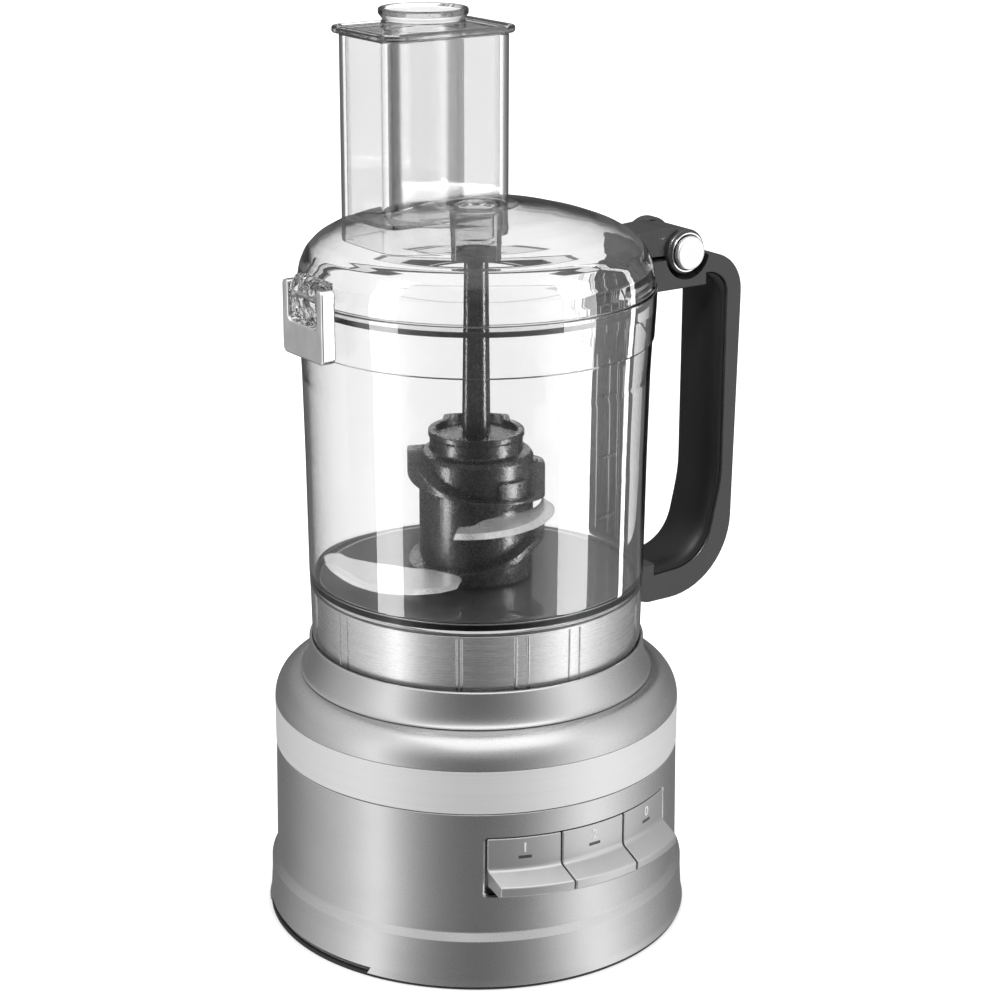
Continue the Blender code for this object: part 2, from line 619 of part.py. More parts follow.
def knives():
    edge = [(-44, 58.7), (-34, 58), (-23, 56), (-14, 53.5), (-5, 50.5), (10, 46), (24, 41.7)]
    edge += [(50, 36.6), (60, 33.2)]
    heel = [(45, 33), (30, 33), (15, 33), (0, 33), (-15, 33), (-28, 34), (-37, 43)]
    crescent("blade_upper", edge, heel, 205.0)
    edge = [(-46, 47), (-52, 54), (-63, 62), (-75, 67.5), (-88, 69.5), (-100, 70), (-112, 71.5), (-124, 73.2)]
    heel = [(-120, 63), (-110, 51.5), (-100, 42), (-88, 36), (-75, 33.2), (-60, 33), (-44, 36)]
    crescent("blade_lower", edge, heel, 177.0)


# Keys

def keys():
    """Three keys side by side. Their faces follow the wall, and their lips all point straight ahead."""
    width = KEY_ANGLE - 0.52
    lip = KEY_FACE_R + KEY_LIP
    profile = [(KEY_FACE_R, KEY_TOP), (KEY_FACE_R, 58.5), (lip, 54), (lip - 0.2, 48.8),
               (lip - 2.5, 48.2), (95.2, 48.6), (94.6, 57), (94.6, KEY_TOP)]
    names = ("low_speed_key", "high_speed_key", "off_pulse_key")
    for name, azimuth in zip(names, (-KEY_ANGLE, 0, KEY_ANGLE)):
        frame = pivot(f"{name}_pivot", *polar(KEY_PIVOT[0], azimuth), KEY_PIVOT[1])
        key = sector(name, profile, azimuth, width, frame, KEY_GREY, steps=4)
        for vertex in key.data.vertices:
            ahead = max(0, vertex.co.xy.length - KEY_FACE_R * MM)
            vertex.co.xy -= vertex.co.xy.normalized() * ahead
            vertex.co.y -= ahead


for existing in list(bpy.data.objects):
    bpy.data.objects.remove(existing)
PARTS = new_collection("food_processor")
CUTTERS = new_collection("cutters")
SPINDLE_AXIS = bpy.data.objects.new("spindle_axis", None)
PARTS.objects.link(SPINDLE_AXIS)
SPINDLE_AXIS.location = Vector((AXIS_X, AXIS_Y, 0)) * MM
BASE = SPINDLE_AXIS
ROTOR = pivot("motor_axis", *MOTOR_CENTRE, 0)
SPIN = pivot("spindle_turn", 0, 0, 0)
BOWL = pivot("bowl_lift", 0, 0, 0)
KNIFE = pivot("knife_turn", 0, 0, 0)
LID = pivot("lid_hinge_axis", HINGE_X, 0, HINGE_Z)
LATCH = pivot("latch_axis", LATCH_PIVOT[0], 0, LATCH_PIVOT[1])
PUSH = pivot("pusher_slide", *PUSHER_CENTRE, 0)
CUP = pivot("small_pusher_slide", *PUSHER_CENTRE, 0)

base_housing()
base_covers()
base_floor()
cord_gland()
chassis()
motor_static()
belt()
controls()
motor_rotor()
spindle()
bowl_shell()
handle()
hinge()
lid_dome()
feed_tube()
lid_fittings()
latch()
pusher()
small_pusher()
knife_hub()
stem()
knives()
keys()
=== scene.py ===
"""Looks of the food processor: detailed surfaces, materials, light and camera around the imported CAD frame.

Lengths are in millimetres around the spindle axis, with z = 0 on the worktop, until a piece is made.
"""
import json
import math

import bmesh
import bpy
from mathutils import Matrix, Vector

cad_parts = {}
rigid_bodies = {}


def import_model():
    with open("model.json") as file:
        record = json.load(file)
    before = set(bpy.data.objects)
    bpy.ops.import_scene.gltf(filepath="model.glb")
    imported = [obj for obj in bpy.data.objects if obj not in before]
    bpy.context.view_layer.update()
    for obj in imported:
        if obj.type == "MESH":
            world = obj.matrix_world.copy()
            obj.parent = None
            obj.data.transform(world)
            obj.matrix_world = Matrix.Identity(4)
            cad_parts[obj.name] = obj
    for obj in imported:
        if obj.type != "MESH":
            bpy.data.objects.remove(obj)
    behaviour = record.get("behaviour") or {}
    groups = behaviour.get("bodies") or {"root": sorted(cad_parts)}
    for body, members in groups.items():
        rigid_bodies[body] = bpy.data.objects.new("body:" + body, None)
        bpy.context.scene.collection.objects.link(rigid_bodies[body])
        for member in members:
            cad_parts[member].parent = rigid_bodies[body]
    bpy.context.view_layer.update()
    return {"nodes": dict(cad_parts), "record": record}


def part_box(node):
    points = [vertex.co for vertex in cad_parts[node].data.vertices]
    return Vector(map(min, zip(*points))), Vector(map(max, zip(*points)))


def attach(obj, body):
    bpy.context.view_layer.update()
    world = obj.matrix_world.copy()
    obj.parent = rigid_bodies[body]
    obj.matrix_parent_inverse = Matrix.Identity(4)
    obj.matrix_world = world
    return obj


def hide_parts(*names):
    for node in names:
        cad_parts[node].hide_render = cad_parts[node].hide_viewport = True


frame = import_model()

MM = 0.001
band_low, band_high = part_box("base_band")
AXIS = Vector(((band_low.x + band_high.x) / 2, (band_low.y + band_high.y) / 2, 0))
FRONT = -34.0                       # azimuth of the camera around the spindle, 0 being the front


# Shapes

def rounded(corners, segments=6):
    """A closed outline through (x, y) or (x, y, radius) corners, each rounded by an arc."""
    outline = []
    count = len(corners)
    for i, corner in enumerate(corners):
        here = Vector(corner[:2])
        radius = corner[2] if len(corner) > 2 else 0
        if radius == 0:
            outline.append(here)
            continue
        back = (Vector(corners[i - 1][:2]) - here).normalized()
        ahead = (Vector(corners[(i + 1) % count][:2]) - here).normalized()
        half = back.angle(ahead) / 2
        middle = here + (back + ahead).normalized() * (radius / math.sin(half))
        start = here + back * (radius / math.tan(half)) - middle
        sweep = start.angle_signed(here + ahead * (radius / math.tan(half)) - middle)
        for step in range(segments + 1):
            outline.append(middle + Matrix.Rotation(-sweep * step / segments, 2) @ start)
    return outline


def rounded_box(width, depth, radius, centre=(0, 0), segments=8):
    x, y = width / 2, depth / 2
    corners = [(-x, -y, radius), (x, -y, radius), (x, y, radius), (-x, y, radius)]
    return [point + Vector(centre) for point in rounded(corners, segments)]


def circle(radius, sides, centre=(0, 0)):
    turns = [2 * math.pi * i / sides for i in range(sides)]
    return [Vector((centre[0] + radius * math.cos(a), centre[1] + radius * math.sin(a))) for a in turns]


def polar(radius, azimuth, z=None):
    angle = math.radians(azimuth)
    flat = (radius * math.sin(angle), -radius * math.cos(angle))
    return flat if z is None else (*flat, z)


def blend_at(stations, azimuth):
    """Smooth values between (azimuth, value, ...) stations that go once round."""
    count = len(stations)
    for i, station in enumerate(stations):
        after = stations[(i + 1) % count]
        width = (after[0] - station[0]) % 360 or 360
        along = (azimuth - station[0]) % 360
        if along < width:
            t = along / width
            before = stations[i - 1]
            beyond = stations[(i + 2) % count]
            values = []
            for p0, p1, p2, p3 in zip(before[1:], station[1:], after[1:], beyond[1:]):
                curve = 2 * p1 + (p2 - p0) * t + (2 * p0 - 5 * p1 + 4 * p2 - p3) * t * t
                values.append((curve + (3 * p1 - p0 - 3 * p2 + p3) * t ** 3) / 2)
            return values
    return stations[0][1:]


def finish_mesh(bm, name, sharp=32):
    bmesh.ops.remove_doubles(bm, verts=bm.verts, dist=0.000001)
    bmesh.ops.recalc_face_normals(bm, faces=bm.faces)
    mesh = bpy.data.meshes.new(name)
    bm.to_mesh(mesh)
    bm.free()
    mesh.shade_smooth()
    mesh.set_sharp_from_angle(angle=math.radians(sharp))
    return mesh


def piece(name, mesh, body, finish, replaces=(), at=(0, 0, 0), weighted=True):
    """Places a mesh drawn around the spindle axis, plus `at`, and lets it move with a CAD body."""
    obj = bpy.data.objects.new(name, mesh)
    bpy.context.scene.collection.objects.link(obj)
    obj.location = AXIS + Vector(at) * MM
    obj.data.materials.clear()
    obj.data.materials.append(finish[0])
    if weighted:
        obj.modifiers.new("normals", "WEIGHTED_NORMAL").keep_sharp = True
    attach(obj, body)
    if replaces:
        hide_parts(*replaces)
    return obj


def skin(bm, rings, around=False):
    """Faces between rings of vertices. The last ring meets the first, or else both ends are closed."""
    size = len(rings[0])
    for i in range(len(rings) if around else len(rings) - 1):
        here, there = rings[i], rings[(i + 1) % len(rings)]
        for j in range(size):
            k = (j + 1) % size
            bm.faces.new([here[j], there[j], there[k], here[k]])
    if not around:
        bm.faces.new(rings[0])
        bm.faces.new(list(reversed(rings[-1])))


def lathe_mesh(name, profile, segments=144, start=0.0, sweep=360.0, closed=True):
    """Turns (radius, z) points about the axis; a partial turn gets flat ends."""
    bm = bmesh.new()
    whole = abs(sweep) >= 360
    turns = segments if whole else segments + 1
    rings = []
    for i in range(turns):
        azimuth = start + sweep * i / segments
        rings.append([bm.verts.new(Vector(polar(r, azimuth, z)) * MM) for r, z in profile])
    count = len(profile)
    last = count if closed else count - 1
    for i in range(segments):
        here, there = rings[i], rings[(i + 1) % turns]
        for j in range(last):
            k = (j + 1) % count
            corners = [here[j], there[j], there[k], here[k]]
            if profile[j][0] < 1e-6 and profile[k][0] < 1e-6:
                continue
            bm.faces.new(corners)
    if not whole:
        bm.faces.new(rings[0])
        bm.faces.new(list(reversed(rings[-1])))
    return finish_mesh(bm, name)


def lathe(name, corners, body, finish, replaces=(), segments=144, at=(0, 0, 0), arc=5):
    outline = rounded(corners, arc)
    return piece(name, lathe_mesh(name, outline, segments), body, finish, replaces, at)


def drawn(name, curve):
    """The mesh of a curve or text, with nothing of it left in the scene."""
    scratch = bpy.data.objects.new(name, curve)
    bpy.context.scene.collection.objects.link(scratch)
    bpy.context.view_layer.update()
    evaluated = scratch.evaluated_get(bpy.context.evaluated_depsgraph_get())
    mesh = bpy.data.meshes.new_from_object(evaluated)
    bpy.data.objects.remove(scratch)
    return mesh


def slab_mesh(name, outlines, low, high, bevel=0.6, along="Z"):
    """Outlines, holes included, made solid from low to high with rounded edges."""
    curve = bpy.data.curves.new(name, "CURVE")
    curve.dimensions = "2D"
    curve.fill_mode = "BOTH"
    curve.extrude = ((high - low) / 2 - bevel) * MM
    curve.bevel_depth = bevel * MM
    curve.bevel_resolution = 3
    curve.offset = -bevel * MM
    for outline in outlines:
        spline = curve.splines.new("POLY")
        spline.points.add(len(outline) - 1)
        for point, (x, y) in zip(spline.points, outline):
            point.co = (x * MM, y * MM, 0, 1)
        spline.use_cyclic_u = True
    bm = bmesh.new()
    bm.from_mesh(drawn(name, curve))
    middle = (high + low) / 2 * MM
    place = Matrix.Translation((0, 0, middle))
    if along == "Y":
        place = Matrix.Translation((0, middle, 0)) @ Matrix.Rotation(math.pi / 2, 4, "X")
    if along == "X":
        turn = Matrix(((0, 0, 1, 0), (1, 0, 0, 0), (0, 1, 0, 0), (0, 0, 0, 1)))
        place = Matrix.Translation((middle, 0, 0)) @ turn
    bmesh.ops.transform(bm, matrix=place, verts=bm.verts)
    return finish_mesh(bm, name)


def slab(name, outlines, low, high, body, finish, replaces=(), bevel=0.6, along="Z", at=(0, 0, 0)):
    return piece(name, slab_mesh(name, outlines, low, high, bevel, along), body, finish, replaces, at)


def rod_corners(radius, low, high, soft):
    return [(0, high), (radius, high, soft), (radius, low, soft), (0, low)]


def rod(name, radius, low, high, body, finish, replaces=(), centre=(0, 0), along="Z", soft=0.4, segments=48):
    outline = rounded(rod_corners(radius, low, high, soft), 4)
    mesh = lathe_mesh(name, outline, segments, closed=False)
    if along == "Y":
        mesh.transform(Matrix(((1, 0, 0, 0), (0, 0, 1, 0), (0, -1, 0, 0), (0, 0, 0, 1))))
        return piece(name, mesh, body, finish, replaces, (centre[0], 0, centre[1]))
    return piece(name, mesh, body, finish, replaces, (centre[0], centre[1], 0))


def soften(obj, width, angle):
    """Rounds the edges sharper than an angle, before the normals are weighted."""
    bevel = obj.modifiers.new("edges", "BEVEL")
    bevel.width = width * MM
    bevel.segments = 3
    bevel.limit_method = "ANGLE"
    bevel.angle_limit = math.radians(angle)
    obj.modifiers.move(1, 0)


def carve(obj, cutter_mesh):
    """Cuts a shape away at once, so that no cutter stays in the scene."""
    cutter = bpy.data.objects.new("cutter", cutter_mesh)
    bpy.context.scene.collection.objects.link(cutter)
    cutter.location = AXIS
    step = obj.modifiers.new("carve", "BOOLEAN")
    step.operation = "DIFFERENCE"
    step.solver = "EXACT"
    step.object = cutter
    while obj.modifiers[0] != step:
        bpy.context.view_layer.objects.active = obj
        obj.modifiers.move(len(obj.modifiers) - 1, 0)
    bpy.context.view_layer.update()
    shown = [m.show_viewport for m in obj.modifiers]
    for modifier in obj.modifiers[1:]:
        modifier.show_viewport = False
    bpy.context.view_layer.update()
    evaluated = obj.evaluated_get(bpy.context.evaluated_depsgraph_get())
    mesh = bpy.data.meshes.new_from_object(evaluated)
    obj.modifiers.remove(step)
    for modifier, state in zip(obj.modifiers, shown[1:]):
        modifier.show_viewport = state
    bpy.data.objects.remove(cutter)
    mesh.name = obj.data.name
    mesh.shade_smooth()
    mesh.set_sharp_from_angle(angle=math.radians(32))
    material = obj.data.materials[0]
    obj.data = mesh
    mesh.materials.clear()
    mesh.materials.append(material)
    return obj


# Materials

class Nodes:
    """A small helper around a node tree."""

    def __init__(self, tree):
        self.tree = tree

    def node(self, kind, links=(), **values):
        """A new node; each value is one of its properties or, with _ for a space, one of its inputs."""
        made = self.tree.nodes.new(kind)
        for key, value in values.items():
            if hasattr(made, key):
                setattr(made, key, value)
            else:
                made.inputs[key.replace("_", " ")].default_value = value
        for source, target in links:
            self.tree.links.new(source, made.inputs[target])
        return made

    def link(self, source, target):
        self.tree.links.new(source, target)

    def maths(self, operation, *sources):
        """What a maths node makes of sockets and numbers."""
        made = self.node("ShaderNodeMath", operation=operation)
        for target, source in zip(made.inputs, sources):
            if isinstance(source, (int, float)):
                target.default_value = source
            else:
                self.link(source, target)
        return made.outputs[0]


class Graph(Nodes):
    """The nodes of one new material."""

    def __init__(self, name):
        self.material = bpy.data.materials.new(name)
        self.material.use_nodes = True
        super().__init__(self.material.node_tree)
        self.shader = self.tree.nodes["Principled BSDF"]
        self.output = self.tree.nodes["Material Output"]

    def set(self, **values):
        for key, value in values.items():
            self.shader.inputs[key.replace("_", " ")].default_value = value

    def place(self):
        return self.node("ShaderNodeTexCoord").outputs["Object"]

    def noise(self, place, scale, detail=2.0, roughness=0.5):
        made = self.node("ShaderNodeTexNoise", [(place, "Vector")], Scale=scale, Detail=detail,
                         Roughness=roughness)
        return made.outputs["Fac"]

    def band(self, value, low, high, start=0.3, end=0.7):
        made = self.node("ShaderNodeMapRange", [(value, "Value")], From_Min=start, From_Max=end,
                         To_Min=low, To_Max=high)
        return made.outputs["Result"]

    def tint(self, value, dark, light, start=0.3, end=0.7):
        ramp = self.node("ShaderNodeValToRGB", [(value, "Fac")])
        ramp.color_ramp.elements[0].position = start
        ramp.color_ramp.elements[0].color = (*dark, 1)
        ramp.color_ramp.elements[1].position = end
        ramp.color_ramp.elements[1].color = (*light, 1)
        return ramp.outputs["Color"]

    def blend(self, share, first, second):
        """Shows a mix of two shaders as the material's surface."""
        mix = self.node("ShaderNodeMixShader", [(share, 0), (first.outputs[0], 1), (second.outputs[0], 2)])
        self.link(mix.outputs[0], self.output.inputs["Surface"])

    def bump(self, height, distance, strength=1.0):
        made = self.node("ShaderNodeBump", [(height, "Height")], Distance=distance, Strength=strength)
        self.link(made.outputs["Normal"], self.shader.inputs["Normal"])


def grey(value, warm=0.0):
    return (value * (1 + warm), value, value * (1 - warm))


def paint(name, dark, light, metallic, rough, grain=2600, bump=0.000006):
    """Satin metallic paint or moulded plastic with a fine grain and a slow drift of tone."""
    g = Graph(name)
    place = g.place()
    fine = g.noise(place, grain, 2)
    slow = g.noise(place, 22, 3)
    both = g.maths("MULTIPLY", g.maths("ADD", fine, slow), 0.5)
    g.link(g.tint(both, grey(dark), grey(light), 0.35, 0.65), g.shader.inputs["Base Color"])
    g.link(g.band(fine, rough - 0.04, rough + 0.05), g.shader.inputs["Roughness"])
    g.set(Metallic=metallic)
    g.bump(fine, bump)
    return g


def brushed(name, dark, light, rough, stretch=(1.4, 1.4, 900), metallic=1.0, bump=0.000012):
    """Metal brushed around the axis: long streaks along the turn, narrow across it."""
    g = Graph(name)
    place = g.place()
    mapping = g.node("ShaderNodeMapping", [(place, "Vector")], Scale=stretch)
    streaks = g.noise(mapping.outputs[0], 4.0, 5, 0.65)
    fine = g.noise(place, 1500, 2)
    g.link(g.tint(streaks, grey(dark), grey(light), 0.32, 0.68), g.shader.inputs["Base Color"])
    g.link(g.band(streaks, rough - 0.05, rough + 0.07), g.shader.inputs["Roughness"])
    g.set(Metallic=metallic)
    g.bump(g.maths("ADD", streaks, fine), bump)
    return g


def clear(name, tint, rough=0.012, wave=0.00012, wave_scale=18, ior=1.49):
    """Clear moulded plastic. Lamps shine through it, so what it holds stays lit."""
    g = Graph(name)
    place = g.place()
    slow = g.noise(place, wave_scale, 1)
    scuffs = g.noise(place, 160, 4, 0.7)
    g.set(Transmission_Weight=1.0, IOR=ior, Metallic=0.0)
    g.link(g.tint(slow, (tint, tint, tint), (tint + 0.015, tint + 0.015, tint + 0.015)),
           g.shader.inputs["Base Color"])
    g.link(g.band(scuffs, rough * 0.5, rough * 2.2, 0.45, 0.8), g.shader.inputs["Roughness"])
    g.bump(slow, wave)
    shadow = g.node("ShaderNodeLightPath").outputs["Is Shadow Ray"]
    through = g.node("ShaderNodeBsdfTransparent", Color=(0.94, 0.94, 0.94, 1))
    g.blend(shadow, g.shader, through)
    return g


def film(name, face, edge):
    """A thin clear wall, drawn as one sheet: see-through head on, darker and glossier at a glance."""
    g = Graph(name)
    place = g.place()
    slow = g.noise(place, 30, 2)
    scuffs = g.noise(place, 160, 4, 0.7)
    weight = g.node("ShaderNodeLayerWeight", Blend=0.5)
    sheet = g.node("ShaderNodeBsdfTransparent")
    g.link(g.tint(weight.outputs["Facing"], grey(face), grey(edge), 0.58, 0.9), sheet.inputs["Color"])
    g.set(Base_Color=(0.9, 0.9, 0.9, 1), Metallic=1.0)
    g.link(g.band(scuffs, 0.02, 0.06, 0.45, 0.8), g.shader.inputs["Roughness"])
    g.bump(slow, 0.0003)
    fresnel = g.node("ShaderNodeFresnel", IOR=1.49)
    both_faces = g.maths("MULTIPLY", fresnel.outputs[0], 1.7)
    g.blend(g.maths("MINIMUM", both_faces, 0.42), sheet, g.shader)
    return g


def moulded(name, dark, light, rough, grain, depth, speckle=0.0, shine=0.5):
    """Dark moulded plastic with an eroded grain."""
    g = Graph(name)
    place = g.place()
    fine = g.noise(place, grain, 4, 0.6)
    slow = g.noise(place, 35, 3)
    g.link(g.tint(slow, grey(dark), grey(light)), g.shader.inputs["Base Color"])
    g.link(g.band(fine, rough - 0.08 - speckle, rough + 0.1), g.shader.inputs["Roughness"])
    g.set(Specular_IOR_Level=shine)
    g.bump(fine, depth)
    return g


def solid(name, colour, metallic, rough, grain=700, depth=0.00002):
    g = Graph(name)
    place = g.place()
    fine = g.noise(place, grain, 3)
    dark = tuple(c * 0.8 for c in colour)
    g.link(g.tint(fine, dark, colour), g.shader.inputs["Base Color"])
    g.link(g.band(fine, rough - 0.07, rough + 0.08), g.shader.inputs["Roughness"])
    g.set(Metallic=metallic)
    g.bump(fine, depth)
    return g


SILVER = (paint("silver_body", 0.45, 0.51, 0.92, 0.3).material, "silver_body")
DRUM = (brushed("drum_silver", 0.82, 0.88, 0.26, (1.2, 1.2, 900), bump=0.000004).material, "silver_body")
BAND = (brushed("band_brushed", 0.72, 0.8, 0.5, metallic=0.4).material, "brushed_band")
KEY = (paint("key_paint", 0.44, 0.5, 0.75, 0.36, 3200).material, "key_grey")
LABEL = (paint("label_white", 0.8, 0.86, 0.0, 0.5, 4000).material, "key_grey")
DASH = (moulded("dash_window", 0.05, 0.07, 0.25, 2500, 0.000005).material, "charcoal_plastic")
HUB = (moulded("hub_grain", 0.003, 0.006, 0.26, 900, 0.00005, 0.06).material, "charcoal_plastic")
STEM = (moulded("stem_plastic", 0.006, 0.01, 0.28, 900, 0.00003).material, "charcoal_plastic")
HANDLE = (moulded("handle_plastic", 0.008, 0.012, 0.3, 2600, 0.00003).material, "charcoal_plastic")
GRIP = (moulded("grip_rubber", 0.003, 0.005, 0.5, 3000, 0.00003, shine=0.22).material, "soft_grip")
CAP_DARK = (moulded("cap_dark", 0.05, 0.065, 0.4, 900, 0.00003).material, "charcoal_plastic")
UNDER = (moulded("under_plastic", 0.03, 0.045, 0.5, 900, 0.00008).material, "charcoal_plastic")
RUBBER = (moulded("rubber_black", 0.015, 0.022, 0.7, 1400, 0.00005).material, "rubber")
GASKET = (moulded("gasket_grey", 0.02, 0.03, 0.4, 900, 0.00003).material, "rubber")
CHROME = (solid("chrome", (0.88, 0.88, 0.89), 1.0, 0.08, 60, 0.000004).material, "chrome")
GUIDE = (CHROME[0], "silver_body")
CAP = (brushed("cap_silver", 0.62, 0.7, 0.32, (300, 300, 300)).material, "chrome")
BLADE = (brushed("blade_steel", 0.7, 0.82, 0.2, (500, 4, 4), 0.84).material, "blade_steel")
STEEL = (brushed("machined_steel", 0.5, 0.64, 0.3, (3, 3, 400)).material, "steel")
COPPER = (solid("winding_copper", (0.66, 0.3, 0.14), 0.9, 0.35, 900, 0.00012).material, "copper")
BOARD = (solid("board_green", (0.04, 0.2, 0.09), 0.0, 0.35, 300, 0.00001).material, "circuit_board")
CLEAR = (clear("clear_bowl", 0.81).material, "clear_plastic")
CLEAR_LID = (clear("clear_lid", 0.8, wave=0.0002, wave_scale=14, ior=1.38).material, "clear_plastic")
CLEAR_TUBE = (clear("clear_tube", 0.88, wave=0.00025, wave_scale=16, ior=1.47).material, "clear_plastic")
CLEAR_PUSHER = (clear("clear_pusher", 0.86, wave=0.0003, wave_scale=20).material, "clear_plastic")
FILM = (film("clear_film", 0.985, 0.6).material, "clear_plastic")
CLEAR_LUG = (clear("clear_lug", 0.95, wave=0.003, wave_scale=130).material, "clear_plastic")


# Base

WALL = 98.0                         # the housing's outer radius around the keys
WINDOW_INSET = 95.6                 # the radius where the window's edge starts to flare
WINDOW_FLARE = 2.6


def key_window():
    """The shape that cuts the opening for the keys, whose ends flare out to the housing's surface."""
    half, low, high, corner = math.radians(31.35) * WALL, 45.2, 74.5, 2.0
    bm = bmesh.new()
    rows = []
    for radius in (90, 95.6, 96.4, 97.0, 97.5, 97.9, 98.2, 100, 106):
        depth = min(1, max(0, (radius - WINDOW_INSET) / WINDOW_FLARE))
        flare = 1 - math.sqrt(1 - depth * depth) + max(0, radius - WINDOW_INSET - WINDOW_FLARE) * 0.8
        ends = []
        for side in (-1, 1):
            for step in range(6):
                turn = math.radians(18 * (step if side > 0 else 5 - step))
                across = side * (half - corner + corner * math.sin(turn) + 3.6 * flare)
                cut_in = corner * (1 - math.cos(turn))
                ends.append((across, low + cut_in - 0.5 * flare, high - cut_in + 0.5 * flare))
        left, right = ends[5][0], ends[6][0]
        middle = [(left + (right - left) * k / 30, *ends[5][1:]) for k in range(1, 30)]
        row = []
        for across, low_z, high_z in ends[:6] + middle + ends[6:]:
            azimuth = math.degrees(across / WALL)
            row.append([bm.verts.new(Vector(polar(radius, azimuth, z)) * MM) for z in (low_z, high_z)])
        rows.append(row)
    for here, there in zip(rows, rows[1:]):
        for k in range(len(here) - 1):
            for end in (0, 1):
                bm.faces.new([here[k][end], here[k + 1][end], there[k + 1][end], there[k][end]])
        for k in (0, -1):
            bm.faces.new([here[k][0], here[k][1], there[k][1], there[k][0]])
    for row in (rows[0], rows[-1]):
        for left, right in zip(row, row[1:]):
            bm.faces.new([left[0], right[0], right[1], left[1]])
    return finish_mesh(bm, "key_window")


def base():
    skirt = [(102.6, 1.5, 0.4), (101.7, 4.6, 10), (101.0, 17.0, 20), (100.9, 23.8, 0.8)]
    skirt += [(98.3, 27.6, 2), (98.0, 36, 10), (97.3, 86.0, 0.7), (94.8, 86.0)]
    skirt += [(96.5, 30), (99.0, 12), (100.2, 1.5, 0.4)]
    housing = lathe("housing_shell", skirt, "base", SILVER, ["base_housing"], 192)
    carve(housing, key_window())
    lining = [(91.4, 76.0), (91.4, 43.0), (90.8, 43.0), (90.8, 76.0)]
    piece("window_lining", lathe_mesh("window_lining", lining, 40, -34, 68), "base", SILVER)
    for side in (-90, 90):
        notch = lathe_mesh("notch", [(110, 4.7), (110, -2), (90, -2), (90, 4.7)], 24, side - 25.2, 50.4)
        for vertex in notch.vertices:
            if vertex.co.z > 0:
                middle = Vector(polar(1, side, 0))
                off = vertex.co.xy.angle_signed(middle.xy)
                vertex.co = Matrix.Rotation(0.08 * off, 3, "Z") @ vertex.co
        carve(housing, notch)

    # A black rubber ring under the skirt that also stands for the shadow in the gap under the base: partly a
    # painted shadow line.
    lathe("foot_seal", [(101.75, 2.0), (101.75, 0.1), (100.0, 0.1), (100.0, 2.0)], "base", RUBBER)

    band = [(97.5, 86.4, 0.35), (94.6, 86.4), (94.6, 107.1), (97.5, 107.1, 0.35)]
    lathe("band_ring", list(reversed(band)), "base", BAND, ["base_band"], 192)

    shoulder = [(60.0, 122.0)]
    for step in range(13):
        angle = math.radians(90 * step / 12)
        shoulder.append((85.0 + 12.5 * math.sin(angle), 107.4 + 14.6 * math.cos(angle)))
    shoulder += [(94.8, 107.4), (92.6, 114), (84, 119.2), (60.0, 119.2)]
    lathe("shoulder_cover", shoulder, "base", SILVER, ["top_cover"], 192)

    cove = []
    for step in range(13):
        angle = math.radians(90 * step / 12)
        cove.append((80.4 + 4.5 * (1 - math.cos(angle)), 138.0 - 15.6 * math.sin(angle)))
    ring = [(79.2, 138.5), (80.0, 138.5, 0.2)] + cove + [(84.9, 122.3), (79.2, 122.3)]
    lathe("seat_cove", ring, "base", SILVER, ["bowl_seat_ring"], 192)


def bead(name, path, radius):
    """A thin raised line through (azimuth, z) points on the drum."""
    curve = bpy.data.curves.new(name, "CURVE")
    curve.dimensions = "3D"
    curve.bevel_depth = radius * MM
    curve.bevel_resolution = 2
    curve.use_fill_caps = True
    spline = curve.splines.new("POLY")
    spline.points.add(len(path) - 1)
    for point, (azimuth, z) in zip(spline.points, path):
        point.co = (*(Vector(polar(75.5, azimuth, z)) * MM), 1)
    bm = bmesh.new()
    bm.from_mesh(drawn(name, curve))
    piece(name, finish_mesh(bm, name, 60), "base", GUIDE, weighted=False)


def pedestal():
    """The drum that the bowl sits over, with the raised guides of its twist lock."""
    wall = [(75.5, 164.3, 0.8), (75.5, 122.3), (73.3, 122.3), (73.3, 164.3)]
    lathe("pedestal_drum", wall, "base", DRUM, ["bowl_pedestal"], 192)
    for number, turn in enumerate((0, 120, 240), 1):
        slot = [(-20.4 + turn, 163.2), (-20.4 + turn, 133)]
        for a in (0.5, 1.05, 1.57, 2.09, 2.64):
            slot.append((-18.2 + turn - 2.2 * math.cos(a), 133 - 2.9 * math.sin(a)))
        slot += [(-16.0 + turn, 133), (-16.0 + turn, 163.2)]
        bead(f"guide_slot_{number}", slot, 0.95)
        for side, azimuth in (("a", -40.6), ("b", -39.0)):
            line = [(azimuth + turn, 163.2), (azimuth + turn, 122.8)]
            bead(f"guide_rib_{number}{side}", line, 0.6)
    for name, left in (("guide_tab_front", -0.2), ("guide_tab_side", -89.2)):
        tab = [(left, 163.2), (left, 129), (left + 4.4, 129), (left + 4.4, 163.2)]
        bead(name, tab, 0.5)
        ring = [(left + 2.2 + 0.9 * math.sin(a), 133.4 + 1.2 * math.cos(a)) for a in
                [2 * math.pi * k / 12 for k in range(13)]]
        bead(name + "_dimple", ring, 0.5)
    cap = [(75.3, 166.3, 0.8), (75.3, 164.6), (17, 164.6), (17, 166.3, 0.5)]
    lathe("pedestal_top", cap, "base", CAP_DARK, ["pedestal_cap"])


KEYS = (("low_speed_key", -20.8, "1"), ("high_speed_key", 0.0, "2"), ("off_pulse_key", 20.8, "0"))
KEY_WIDTH = 20.3                    # degrees
KEY_FACE = 97.8


